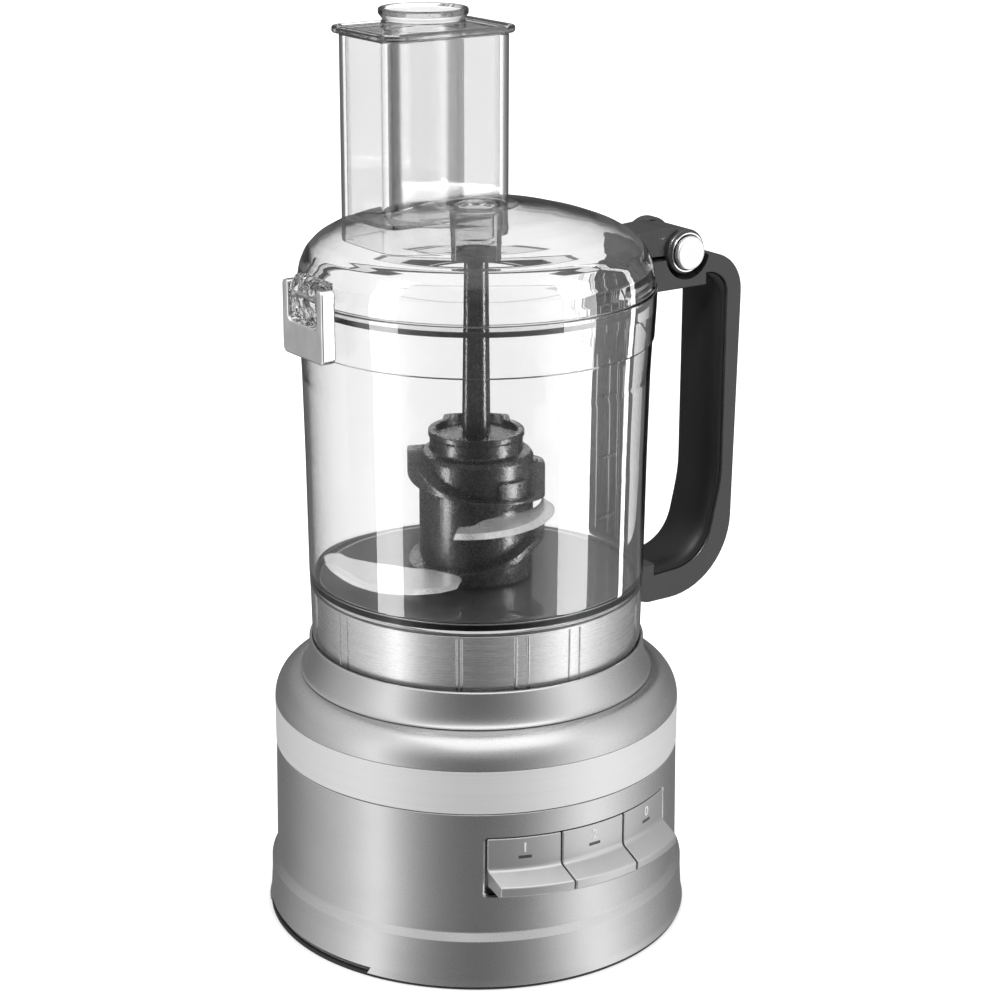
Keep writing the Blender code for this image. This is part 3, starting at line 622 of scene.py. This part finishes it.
def keys():
    top = [(KEY_FACE, 74.0, 0.6), (KEY_FACE, 58.6, 2.6), (109.0, 54.0, 1.4), (108.8, 49.6, 1.2)]
    top += [(106.6, 48.5, 1.2), (99.6, 50.6, 2.0), (95.2, 51.2), (94.6, 57), (94.6, 74.0)]
    outline = rounded(top, 5)
    for body, azimuth, _ in KEYS:
        mesh = lathe_mesh(body + "_cap", outline, 16, azimuth - KEY_WIDTH / 2, KEY_WIDTH)
        for vertex in mesh.vertices:
            ahead = max(0, vertex.co.xy.length - KEY_FACE * MM)
            vertex.co.xy -= vertex.co.xy.normalized() * ahead
            vertex.co.y -= ahead
        soften(piece(body + "_cap", mesh, body, KEY, [body]), 0.7, 60)
    for body, azimuth, label in KEYS:
        text = bpy.data.curves.new(body + "_label", "FONT")
        text.body = label
        text.size = 6.4 * MM
        text.extrude = 0.05 * MM
        text.offset = 0.12 * MM
        text.align_x = "CENTER"
        mesh = drawn(body + "_label", text)
        turn = Matrix.Rotation(math.radians(azimuth), 4, "Z") @ Matrix.Rotation(math.pi / 2, 4, "X")
        spot = Vector(polar(97.86, azimuth, 67.0)) * MM
        mesh.transform(Matrix.Translation(spot) @ turn)
        piece(body + "_label", mesh, body, LABEL, weighted=False)
        dash = [(97.9, 65.2, 0.1), (97.9, 63.7, 0.1), (97.0, 63.7), (97.0, 65.2)]
        outline = rounded(dash, 2)
        mesh = lathe_mesh(body + "_dash", outline, 10, azimuth - 1.8, 3.6)
        piece(body + "_dash", mesh, body, DASH, weighted=False)


# Bowl

def bowl():
    outer = [(83.7, 309.0, 0.5), (83.4, 300, 6), (82.7, 286.2, 0.3), (81.9, 285.2, 0.3), (81.2, 270, 60)]
    outer += [(80.4, 230, 200), (79.7, 172, 100), (79.2, 160), (78.8, 140, 1), (78.6, 126, 0.6)]
    inside = [(77.4, 169.2, 4.0), (78.1, 230, 200), (79.0, 268, 60), (80.2, 286, 30), (81.2, 300, 6)]
    inside += [(81.4, 309.0, 0.5)]
    shell = outer + [(76.7, 126, 0.5), (76.7, 165.6, 1.5), (74.5, 167.0, 1), (12.6, 167.0)]
    shell += [(11.0, 165.4), (11.0, 214.0, 0.4), (13.2, 214.0, 0.4), (13.2, 169.2, 1.5)] + inside
    lathe("bowl_clear", shell, "bowl", CLEAR, ["bowl_shell"], 192)
    for number, azimuth in enumerate((77.5, 82.0, 88.0, 95.0, 101.0, 106.5), 1):
        wide = 1.3 if number % 2 else 0.8
        lower, upper = polar(76.4, azimuth), polar(78.6, azimuth - 2)
        rod(f"bowl_rib_{number}", wide, 175, 262, "bowl", CLEAR, (), lower, soft=0.6, segments=24)
        rod(f"bowl_rib_{number}_upper", 1.1, 264, 300, "bowl", CLEAR, (), upper, soft=0.6, segments=24)
    for number, (radius, z) in enumerate(((81.2, 271), (80.6, 242.5), (80.1, 214)), 1):
        face, root = radius + 0.3, radius - 0.5
        tick = [(face, z + 0.55, 0.2), (face, z - 0.55, 0.2), (root, z - 0.55), (root, z + 0.55)]
        mesh = lathe_mesh(f"bowl_tick_{number}", rounded(tick, 3), 8, 10, 7)
        piece(f"bowl_tick_{number}", mesh, "bowl", CLEAR)
    catch = [(85.4, 297, 0.6), (85.4, 293, 0.6), (83.0, 290.4, 0.6), (83.0, 297, 0.4)]
    outline = rounded(catch, 3)
    mesh = lathe_mesh("bowl_catch", outline, 10, -95, 10)
    piece("bowl_catch", mesh, "bowl", CLEAR)


# Lid and pushers

TUBE_AT = (-3.0, 38.5)
PUSHER_AT = (-3.5, 38.2)


def lid():
    outer = [(0, 348.2), (20, 347.1, 60), (40, 344, 60), (55, 340, 50), (66, 336, 40), (74, 331.5, 18)]
    outer += [(79, 326, 12), (81.5, 320, 14), (82.5, 314, 10), (82.9, 309.4, 0.5)]
    lip = [(79.2, 309.4, 0.3), (78.9, 303.5, 0.5), (77.2, 303.5, 0.5), (77.6, 312, 4), (78.4, 318, 3)]
    inner = [(75.9, 325.5, 8), (71.5, 329.6, 12), (64, 333.6, 30), (53, 337.6, 50), (39, 341.5, 60)]
    inner += [(19.5, 344.7, 6), (12.6, 345.2, 1.5), (11.3, 321.4, 0.5), (9.6, 321.4, 0.5), (9.9, 342.0, 2)]
    inner += [(5.2, 343.4, 0.4), (5.2, 346.6)]
    shell = outer + lip + inner + [(0, 346.6)]
    dome = lathe("lid_clear", shell, "lid", CLEAR_LID, ["lid_dome"], 192)
    hole = slab_mesh("tube_hole", [rounded_box(69.4, 49.4, 8.2, TUBE_AT)], 290, 360, 0.01)
    carve(dome, hole)

    tube_out = rounded_box(69.0, 49.0, 8, TUBE_AT, 10)
    tube_in = rounded_box(64.4, 44.4, 6, TUBE_AT, 10)
    slab("tube_clear", [tube_out, tube_in], 324, 420.0, "lid", CLEAR_TUBE, ["feed_tube"], 0.5)

    bearing = [(9.3, 326.4, 0.5), (9.3, 321.6, 0.5), (7.3, 321.6, 0.3), (7.3, 326.4, 0.3)]
    lathe("bearing_ring", bearing, "lid", HANDLE, ["stem_bearing"], 64)
    gasket = [(80.5, 306.2, 0.4), (80.4, 303.8, 0.4), (79.5, 303.8), (79.5, 306.2)]
    lathe("gasket_ring", gasket, "lid", GASKET, ["lid_gasket"], 192)


def sheet_mesh(name, outline, low, high, floor=None):
    """A wall one sheet thick that follows an outline from low to high, with a floor at `floor`."""
    bm = bmesh.new()
    lower = [bm.verts.new(Vector((x, y, low)) * MM) for x, y in outline]
    upper = [bm.verts.new(Vector((x, y, high)) * MM) for x, y in outline]
    count = len(outline)
    for j in range(count):
        k = (j + 1) % count
        bm.faces.new([lower[j], lower[k], upper[k], upper[j]])
    if floor is not None:
        bm.faces.new([bm.verts.new(Vector((x, y, floor)) * MM) for x, y in outline])
    return finish_mesh(bm, name)


def pushers():
    centre = PUSHER_AT
    wall = rounded_box(61.0, 41.0, 5.0, centre, 10)
    piece("pusher_clear", sheet_mesh("pusher_clear", wall, 334.0, 421.2), "pusher", FILM, ["pusher"])
    outlines = [rounded_box(61.6, 41.6, 5, centre), circle(17.2, 64, centre)]
    piece("pusher_base", slab_mesh("pusher_floor", outlines, 333.2, 335.2, 0.4), "pusher", CLEAR_PUSHER)
    for name, radius in (("pusher_column", 18.2), ("pusher_column_inner", 17.2)):
        piece(name, sheet_mesh(name, circle(radius, 96, centre), 335.2, 421.2), "pusher", FILM)
    outlines = [rounded_box(72, 52, 8, centre, 12), circle(17.6, 64, centre)]
    piece("pusher_flange", slab_mesh("pusher_flange", outlines, 421.0, 422.8, 0.4), "pusher", CLEAR_PUSHER)
    outlines = [rounded_box(74, 54, 9, centre, 12), rounded_box(67.4, 47.4, 6, centre, 12)]
    piece("pusher_bead", slab_mesh("pusher_bead", outlines, 420.6, 424.0, 1.2), "pusher", CLEAR_PUSHER)
    collar = [(19.6, 426.2, 0.5), (19.6, 422.9), (17.4, 422.9), (17.4, 426.2, 0.5)]
    lathe("pusher_collar", collar, "pusher", CLEAR_PUSHER, (), 96, (*centre, 0))
    rim = [(20.9, 432.0, 0.9), (20.9, 429.4, 0.9), (18.6, 426.5, 1.0), (16.9, 426.5, 0.4)]
    rim += [(16.2, 427.4, 1.0), (18.4, 431.9, 0.5)]
    lathe("cup_rim", rim, "small_pusher", CLEAR_PUSHER, ["small_pusher"], 96, (*centre, 0))
    tube = sheet_mesh("cup_wall", circle(16.0, 96), 338.0, 427.0, 338.0)
    piece("cup_wall", tube, "small_pusher", FILM, (), (*centre, 0))


# Handle, hinge and latch

PAD_INNER = [(124, 296, 0), (130.3, 296, 5), (130.3, 190, 60), (122.5, 158.8, 24), (96, 158.2, 0)]
PAD_OUTER = [(96, 152.5, 0), (126.5, 154, 22), (136, 196, 60), (136, 301.5, 11), (124, 301.5, 0)]
HINGE = (111.5, 313.5)              # (x, z) of the hinge's axis


def handle():
    seam = [(x + (0.3 if x > 125 else -0.3), z + (0.3 if z > 200 else -0.3), r) for x, z, r in PAD_OUTER]
    outer = [(83.9, 311, 0), (145.8, 311, 20), (145.8, 285, 0), (143.0, 138.4, 38)]
    outer += [(92, 138.4, 3), (80.2, 142, 0)]
    wall = [(81.0, 232, 0), (81.8, 268, 0), (83.1, 286, 0)]
    gap = [(123.7, 296, 0), (86.9, 296, 3), (84.6, 230, 0), (83.6, 158.2, 4), (95.7, 158.2, 0)]
    outline = rounded(outer, 14) + rounded(wall)
    outlines = [outline, rounded(gap + seam, 12)]
    arch = slab("handle_frame", outlines, -16.4, 16.4, "bowl", HANDLE, ["bowl_handle"], 0.9, "Y")
    trough = slab_mesh("trough", [circle(13.3, 48, HINGE)], -20, 11.8, 0.01, "Y")
    carve(arch, trough)
    pad()
    rod("hinge_lug", 12.4, 12.0, 19.0, "bowl", HANDLE, (), HINGE, "Y", 1.2)
    rod("hinge_button", 8.2, -19.4, -16.0, "bowl", CAP, ["hinge_cap"], HINGE, "Y", 0.9)
    ring = lathe_mesh("hinge_ring", [(9.5, 16.4), (9.5, 15.7), (8.9, 15.7), (8.9, 16.4)], 64)
    ring.transform(Matrix(((1, 0, 0, 0), (0, 0, -1, 0), (0, 1, 0, 0), (0, 0, 0, 1))))
    piece("hinge_ring", ring, "bowl", CHROME, (), (HINGE[0], 0, HINGE[1]))
    rod("hinge_axle", 3.0, -15.9, 17.2, "bowl", STEEL, ["hinge_pin"], HINGE, "Y", 0.3)
    top = [(83.3, 312, 0), (83.3, 324.6, 2), (100, 325.6, 4), (107, 325.6, 3)]
    top += [(HINGE[0], 321, 0), (HINGE[0], 312, 0)]
    slab("hinge_arm", [rounded(top, 4)], -13.0, 11.4, "lid", HANDLE, ["lid_hinge_arm"], 1.0, "Y")
    rod("hinge_barrel", 11.0, -15.6, 11.4, "lid", HANDLE, (), HINGE, "Y", 1.4, 64)


def along(path, share):
    """The point at a share of a path's length."""
    steps = [(b - a).length for a, b in zip(path, path[1:])]
    left = share * sum(steps)
    for a, b, step in zip(path, path[1:], steps):
        if left <= step:
            return a.lerp(b, left / step)
        left -= step
    return path[-1]


def pad():
    """The soft grip: a bump of half an ellipse that runs along the seam and thins out at its ends."""
    inner = rounded([(130, 305, 0)] + PAD_INNER[1:] + [(90, 158.2, 0)], 14)[1:-1]
    outer = rounded([(90, 152.5, 0)] + PAD_OUTER[:-1] + [(120, 301.5, 0)], 14)[1:-1]
    outer.reverse()
    bm = bmesh.new()
    rings = []
    for i in range(121):
        share = i / 120
        crest, seam = along(inner, share), along(outer, share)
        ring = []
        for step in range(25):
            turn = math.radians(-90 + 180 * step / 24)
            spot = seam + (crest - seam) * math.cos(turn) ** 0.8
            ring.append(bm.verts.new(Vector((spot.x, 15.4 * math.sin(turn), spot.y)) * MM))
        rings.append(ring)
    skin(bm, rings)
    piece("handle_pad", finish_mesh(bm, "handle_pad", 50), "bowl", GRIP, ["handle_grip"])


def latch():
    fork = [(-17.5, 287, 3), (17.5, 287, 3), (17.5, 320.5, 2.2), (12.2, 320.5, 1.2), (12.2, 302.5, 2.5)]
    fork += [(-12.2, 302.5, 2.5), (-12.2, 320.5, 1.2), (-17.5, 320.5, 2.2)]
    slab("latch_frame", [rounded(fork, 6)], -93.0, -86.0, "latch", CHROME, ["latch_lever"], 0.9, "X")
    rod("latch_axle", 1.5, -15.0, 15.0, "latch", STEEL, ["latch_pin"], (-88.6, 315.0), "Y", 0.3, 24)
    lug = [(-84.1, 303, 0), (-91.5, 304, 1), (-92.4, 318, 4), (-89, 325, 4), (-83.3, 322, 0)]
    slab("lug_clear", [rounded(lug, 5)], -11.8, 11.8, "lid", CLEAR_LUG, ["latch_lug"], 1.0, "Y")


# Knife

# (azimuth, foot, top, root) on the way round the hub
UPPER_FIN = ((-124, 218.5, 231.0, 231.4), (-100, 216.6, 228.5, 229.6), (-75, 214.9, 220.0, 223.0),
             (-57, 213.7, 216.4, 218.6), (-34, 211.3, 213.4, 213.6), (-6, 210.5, 212.4, 212.8),
             (18, 209.8, 212.0, 212.4), (36, 208.6, 215.0, 216.5), (54, 207.0, 222.0, 224.5),
             (80, 206.5, 222.0, 224.5), (110, 207.5, 214.0, 216.0), (150, 211.0, 213.4, 214.0),
             (185, 214.5, 217.0, 219.0), (210, 217.0, 226.0, 228.0))
LOWER_FIN = ((-124, 170.4, 175.9, 180.0), (-91, 171.7, 176.4, 177.6), (-69, 172.5, 176.8, 177.4),
             (-49, 174.0, 178.2, 178.6), (-27, 176.0, 180.2, 180.6), (-6, 179.9, 184.2, 184.6),
             (22, 185.3, 189.8, 190.6), (56, 188.2, 193.1, 195.4), (90, 188.4, 193.2, 195.4),
             (130, 184.5, 189.0, 190.5), (170, 178.0, 182.5, 184.0), (205, 172.6, 178.0, 180.4))


def flange(name, stations, inner=26.0, outer=32.6):
    """A fin around the hub whose height changes on its way round."""
    bm = bmesh.new()
    count = 180
    rings = []
    for i in range(count):
        azimuth = -180 + 360 * i / count
        foot, top, root = blend_at(stations, azimuth)
        top = max(top, foot + 1.6)
        corners = [(inner, foot + 0.6), (outer, foot, 0.7), (outer, top, 0.8), (inner, root)]
        outline = rounded(corners, 4)
        rings.append([bm.verts.new(Vector(polar(r, azimuth, z)) * MM) for r, z in outline])
    skin(bm, rings, around=True)
    piece(name, finish_mesh(bm, name, 50), "knife", HUB)


def knife():
    outer = [(0, 237.5), (18.6, 237.5), (18.9, 236.9), (19.2, 237.5), (19.4, 240.0, 0.4), (22.7, 240.0, 0.6)]
    outer += [(22.7, 237.4, 0.8), (22.0, 236.6, 0.8), (22.0, 230.6, 1.4), (25.6, 229.6, 1.0)]
    outer += [(27.0, 227.6, 1.2), (27.0, 190, 0), (27.0, 169.9, 0.6), (16.0, 169.9), (16.0, 217.0)]
    outer += [(9.0, 219.5), (9.0, 223), (0, 223)]
    outline = rounded(outer, 4)
    mesh = lathe_mesh("hub_body", outline, 128, closed=False)
    piece("hub_body", mesh, "knife", HUB, ["blade_hub"])
    flange("hub_fin_upper", UPPER_FIN)
    flange("hub_fin_lower", LOWER_FIN)
    lug = [(29.4, 220.5, 1.0), (29.4, 210.7), (26.0, 210.7), (26.0, 220.5)]
    outline = rounded(lug, 4)
    for start in (-12.0, 168.0):
        mesh = lathe_mesh("hub_lug", outline, 12, start, 33)
        soften(piece("hub_lug_front" if start < 0 else "hub_lug_back", mesh, "knife", HUB), 1.0, 50)

    bm = bmesh.new()
    rings = []
    for z, scale in ((237.6, 1.0), (238.4, 1.0), (260, 0.96), (290, 0.9), (322, 0.835), (324.4, 0.82),
                     (325, 0.74)):
        ring = []
        for step in range(96):
            angle = 2 * math.pi * step / 96
            reach = 7.5 * scale * (0.9 + 0.1 * math.cos(4 * angle) * (1.1 - 0.3 * abs(math.cos(4 * angle))))
            ring.append(bm.verts.new((reach * math.cos(angle) * MM, reach * math.sin(angle) * MM, z * MM)))
        rings.append(ring)
    for here, there in zip(rings, rings[1:]):
        for j in range(96):
            k = (j + 1) % 96
            bm.faces.new([here[j], here[k], there[k], there[j]])
    bm.faces.new(rings[-1])
    bm.faces.new(list(reversed(rings[0])))
    piece("stem_shaft", finish_mesh(bm, "stem_shaft", 50), "knife", STEM, ["knife_stem"])


def blade(name, node, stations, z):
    """A crescent blade: (azimuth, heel radius, edge radius), with a ground bevel along its edge."""
    bm = bmesh.new()
    rings = []
    count = 60
    first, last = stations[0][0], stations[-1][0]
    for i in range(count + 1):
        azimuth = first + (last - first) * i / count
        for a, b in zip(stations, stations[1:]):
            if min(a[0], b[0]) - 1e-6 <= azimuth <= max(a[0], b[0]) + 1e-6:
                t = (azimuth - a[0]) / (b[0] - a[0])
                break
        heel = a[1] + (b[1] - a[1]) * t
        edge = max(a[2] + (b[2] - a[2]) * t, heel + 0.3)
        ground = max(heel + 0.2, edge - min(4.5, 0.35 * (edge - heel) + 1.0))
        profile = [(heel, z + 0.8), (ground, z + 0.8), (edge, z - 0.65), (edge - 0.1, z - 0.8)]
        profile.append((heel, z - 0.8))
        rings.append([bm.verts.new(Vector(polar(r, azimuth, h)) * MM) for r, h in profile])
    skin(bm, rings)
    piece(name, finish_mesh(bm, name, 12), "knife", BLADE, [node])


def blades():
    upper = [(-44, 45, 58.7), (-37, 43, 58.3), (-28, 34, 57), (-15, 31, 53.7), (0, 31, 49)]
    upper += [(15, 31, 44.3), (30, 31, 40.6), (45, 31, 37.2), (58, 31, 33.4)]
    blade("blade_top", "blade_upper", upper, 205.0)
    lower = [(-124, 65, 73.2), (-118, 61, 72.3), (-110, 51.5, 71.4), (-100, 42, 70), (-88, 36, 69.5)]
    lower += [(-75, 31, 67.5), (-63, 31, 62), (-52, 32, 54), (-45, 36, 46.5)]
    blade("blade_bottom", "blade_lower", lower, 177.0)


# Hidden and underside pieces keep their CAD shape

def carried_over():
    finishes = {"silver_body": SILVER, "brushed_band": BAND, "key_grey": KEY,
                "charcoal_plastic": UNDER, "soft_grip": GRIP, "rubber": RUBBER, "clear_plastic": CLEAR,
                "chrome": CHROME, "steel": STEEL, "blade_steel": BLADE, "copper": COPPER,
                "circuit_board": BOARD}
    for row in frame["record"]["subparts"]:
        node = frame["nodes"][row["node"]]
        for slot in node.material_slots:
            slot.link = "OBJECT"
            slot.material = finishes[row["material_slot"]][0]


# Stage

BRIGHTEST = 2.0
AROUND = ((-180, 0.06), (-138, 0.1), (-121, 0.19), (-107, 0.3), (-85, 0.42), (-70, 0.62),
          (-57, 1.0), (-49, 0.64), (-41, 0.38), (-33, 0.23), (-18, 0.115), (0, 0.07), (20, 0.13),
          (35, 0.25), (43, 0.43), (55, 0.67), (68, 0.93), (80, 0.74), (98, 0.47), (110, 0.31),
          (125, 0.2), (144, 0.11), (180, 0.06))


def surroundings(nodes):
    """The studio's brightness on each side of the camera's azimuth, for what mirrors it, and the height."""
    place = nodes.node("ShaderNodeTexCoord").outputs["Generated"]
    turn = nodes.node("ShaderNodeVectorRotate", [(place, "Vector")], rotation_type="Z_AXIS",
                      Angle=math.radians(-FRONT))
    split = nodes.node("ShaderNodeSeparateXYZ", [(turn.outputs[0], 0)])
    azimuth = nodes.maths("ARCTAN2", split.outputs["X"], nodes.maths("MULTIPLY", split.outputs["Y"], -1))
    share = nodes.node("ShaderNodeMapRange", [(azimuth, "Value")], From_Min=-math.pi, From_Max=math.pi)
    ramp = nodes.node("ShaderNodeValToRGB", [(share.outputs["Result"], "Fac")])
    ramp.color_ramp.interpolation = "EASE"
    while len(ramp.color_ramp.elements) < len(AROUND):
        ramp.color_ramp.elements.new(0.5)
    for element, (angle, level) in zip(ramp.color_ramp.elements, AROUND):
        element.position = (angle + 180) / 360
    for element, (angle, level) in zip(ramp.color_ramp.elements, AROUND):
        element.color = (level, level, level, 1)
    return ramp.outputs["Color"], split.outputs["Z"]


def seen_plainly(nodes):
    """1 for what is seen directly or straight through clear plastic, 0 for what is mirrored or lit."""
    path = nodes.node("ShaderNodeLightPath").outputs
    direct = nodes.maths("MAXIMUM", path["Is Camera Ray"], path["Is Transmission Ray"])
    bounced = nodes.maths("ADD", path["Glossy Depth"], path["Diffuse Depth"])
    plain = nodes.node("ShaderNodeMath", [(direct, 0), (bounced, 1)], operation="SUBTRACT", use_clamp=True)
    return plain.outputs[0]


CONTACT_SHADE = (0.095, 0.109)      # radii in metres between which the floor's glow rises from none to full: a painted contact shadow round the base, then white


def stage():
    plane = bmesh.new()
    bmesh.ops.create_grid(plane, x_segments=2, y_segments=2, size=6.0)
    mesh = bpy.data.meshes.new("floor")
    plane.to_mesh(mesh)
    plane.free()
    floor = bpy.data.objects.new("floor", mesh)
    bpy.context.scene.collection.objects.link(floor)
    ground = paint("floor_white", 0.6, 0.62, 0.0, 0.7, 40, 0.0)
    ground.set(Emission_Color=(1, 1, 1, 1), Specular_IOR_Level=0.0)
    place = ground.place()
    reach = ground.node("ShaderNodeVectorMath", [(place, 0)], operation="LENGTH")
    # Painted contact shadow: the floor glows, with no glow next to the base and full glow a little further
    # out.
    glow_and_painted_shadow = ground.node("ShaderNodeMapRange", [(reach.outputs["Value"], "Value")],
                       interpolation_type="SMOOTHSTEP", From_Min=CONTACT_SHADE[0],
                       From_Max=CONTACT_SHADE[1], To_Min=0.0, To_Max=0.8)
    ground.link(glow_and_painted_shadow.outputs["Result"], ground.shader.inputs["Emission Strength"])
    ground.blend(seen_plainly(ground), ground.node("ShaderNodeBsdfTransparent"), ground.shader)
    floor.location = AXIS
    floor.data.materials.append(ground.material)


def softbox(name, azimuth, distance, height, width, tall, power, aim=0.22):
    light = bpy.data.lights.new(name, "AREA")
    light.shape = "RECTANGLE"
    light.size = width
    light.size_y = tall
    light.energy = power
    obj = bpy.data.objects.new(name, light)
    bpy.context.scene.collection.objects.link(obj)
    x, y = polar(distance, azimuth)
    obj.location = AXIS + Vector((x, y, height))
    aim_at = AXIS + Vector((0, 0, aim))
    obj.rotation_euler = (aim_at - obj.location).to_track_quat("-Z", "Y").to_euler()
    obj.visible_camera = False
    obj.visible_transmission = False
    return obj


def lit_pieces(name, starts):
    """A collection of the pieces whose names begin so, for a light that shines on nothing else."""
    group = bpy.data.collections.new(name)
    for obj in bpy.context.scene.objects:
        if obj.name.startswith(starts):
            group.objects.link(obj)
    return group


def lights():
    shiny = lit_pieces("clear_pieces", ("bowl_clear", "lid_clear", "bowl_catch"))
    for name, azimuth, width in (("gloss_left", FRONT - 55, 0.15), ("gloss_right", FRONT + 63, 0.18),
                                 ("gloss_side", FRONT + 108, 0.04)):
        box = softbox(name, azimuth, 0.45, 0.46, width, 0.9, 30 * width, 0.46)
        box.light_linking.receiver_collection = shiny
    dark = lit_pieces("dark_pieces", ("hub_", "stem_", "blade_", "pusher_column", "cup_wall"))
    for name, azimuth, width, power in (("knife_left", FRONT - 62, 0.1, 22),
                                        ("knife_right", FRONT + 70, 0.1, 38)):
        box = softbox(name, azimuth, 0.8, 0.1, width, 1.3, power, 0.1)
        box.light_linking.receiver_collection = dark
        box.data.cycles.use_multiple_importance_sampling = False
    back = softbox("knife_back", FRONT + 180, 0.8, 0.5, 1.2, 0.3, 14, 0.2)
    back.light_linking.receiver_collection = dark
    back.data.cycles.use_multiple_importance_sampling = False
    grips = lit_pieces("handle_pieces", ("handle_", "hinge_"))
    edge = softbox("edge_light", FRONT - 12, 0.7, 1.1, 0.5, 0.08, 24, 0.3)
    edge.light_linking.receiver_collection = grips
    softbox("overhead", FRONT + 20, 0.5, 1.6, 1.6, 1.6, 8)


def studio():
    """The world: white where it is seen plainly, darker and uneven for what mirrors it."""
    world = bpy.data.worlds.new("studio")
    bpy.context.scene.world = world
    world.use_nodes = True
    nodes = Nodes(world.node_tree)
    nodes.tree.nodes.clear()
    level, height = surroundings(nodes)
    sky = nodes.node("ShaderNodeMapRange", [(height, "Value")], From_Min=0.22, From_Max=0.9, To_Max=0.75)
    upper = nodes.node("ShaderNodeMix", [(sky.outputs["Result"], "Factor"), (level, "A")],
                       data_type="RGBA", B=(0.68, 0.68, 0.68, 1))
    around = nodes.node("ShaderNodeBackground", [(upper.outputs["Result"], "Color")], Strength=BRIGHTEST)
    seen = nodes.node("ShaderNodeBackground", Color=(1, 1, 1, 1))
    share = seen_plainly(nodes)
    mix = nodes.node("ShaderNodeMixShader", [(share, 0), (around.outputs[0], 1), (seen.outputs[0], 2)])
    nodes.node("ShaderNodeOutputWorld", [(mix.outputs[0], "Surface")])
    bpy.context.scene.view_settings.view_transform = "Standard"


CAMERA_DISTANCE = 1.123
CAMERA_HEIGHT = 0.566               # above the floor
CAMERA_TILT = 17.85                 # degrees downwards


def camera():
    data = bpy.data.cameras.new("camera")
    data.lens = 89.5
    data.sensor_width = 36
    data.shift_x = 0.0238
    data.clip_end = 50
    obj = bpy.data.objects.new("camera", data)
    bpy.context.scene.collection.objects.link(obj)
    x, y = polar(CAMERA_DISTANCE, FRONT)
    obj.location = AXIS + Vector((x, y, CAMERA_HEIGHT))
    obj.rotation_euler = (math.radians(90 - CAMERA_TILT), 0, math.radians(FRONT))
    bpy.context.scene.camera = obj


carried_over()
base()
pedestal()
keys()
bowl()
lid()
pushers()
handle()
latch()
knife()
blades()
stage()
lights()
studio()
camera()
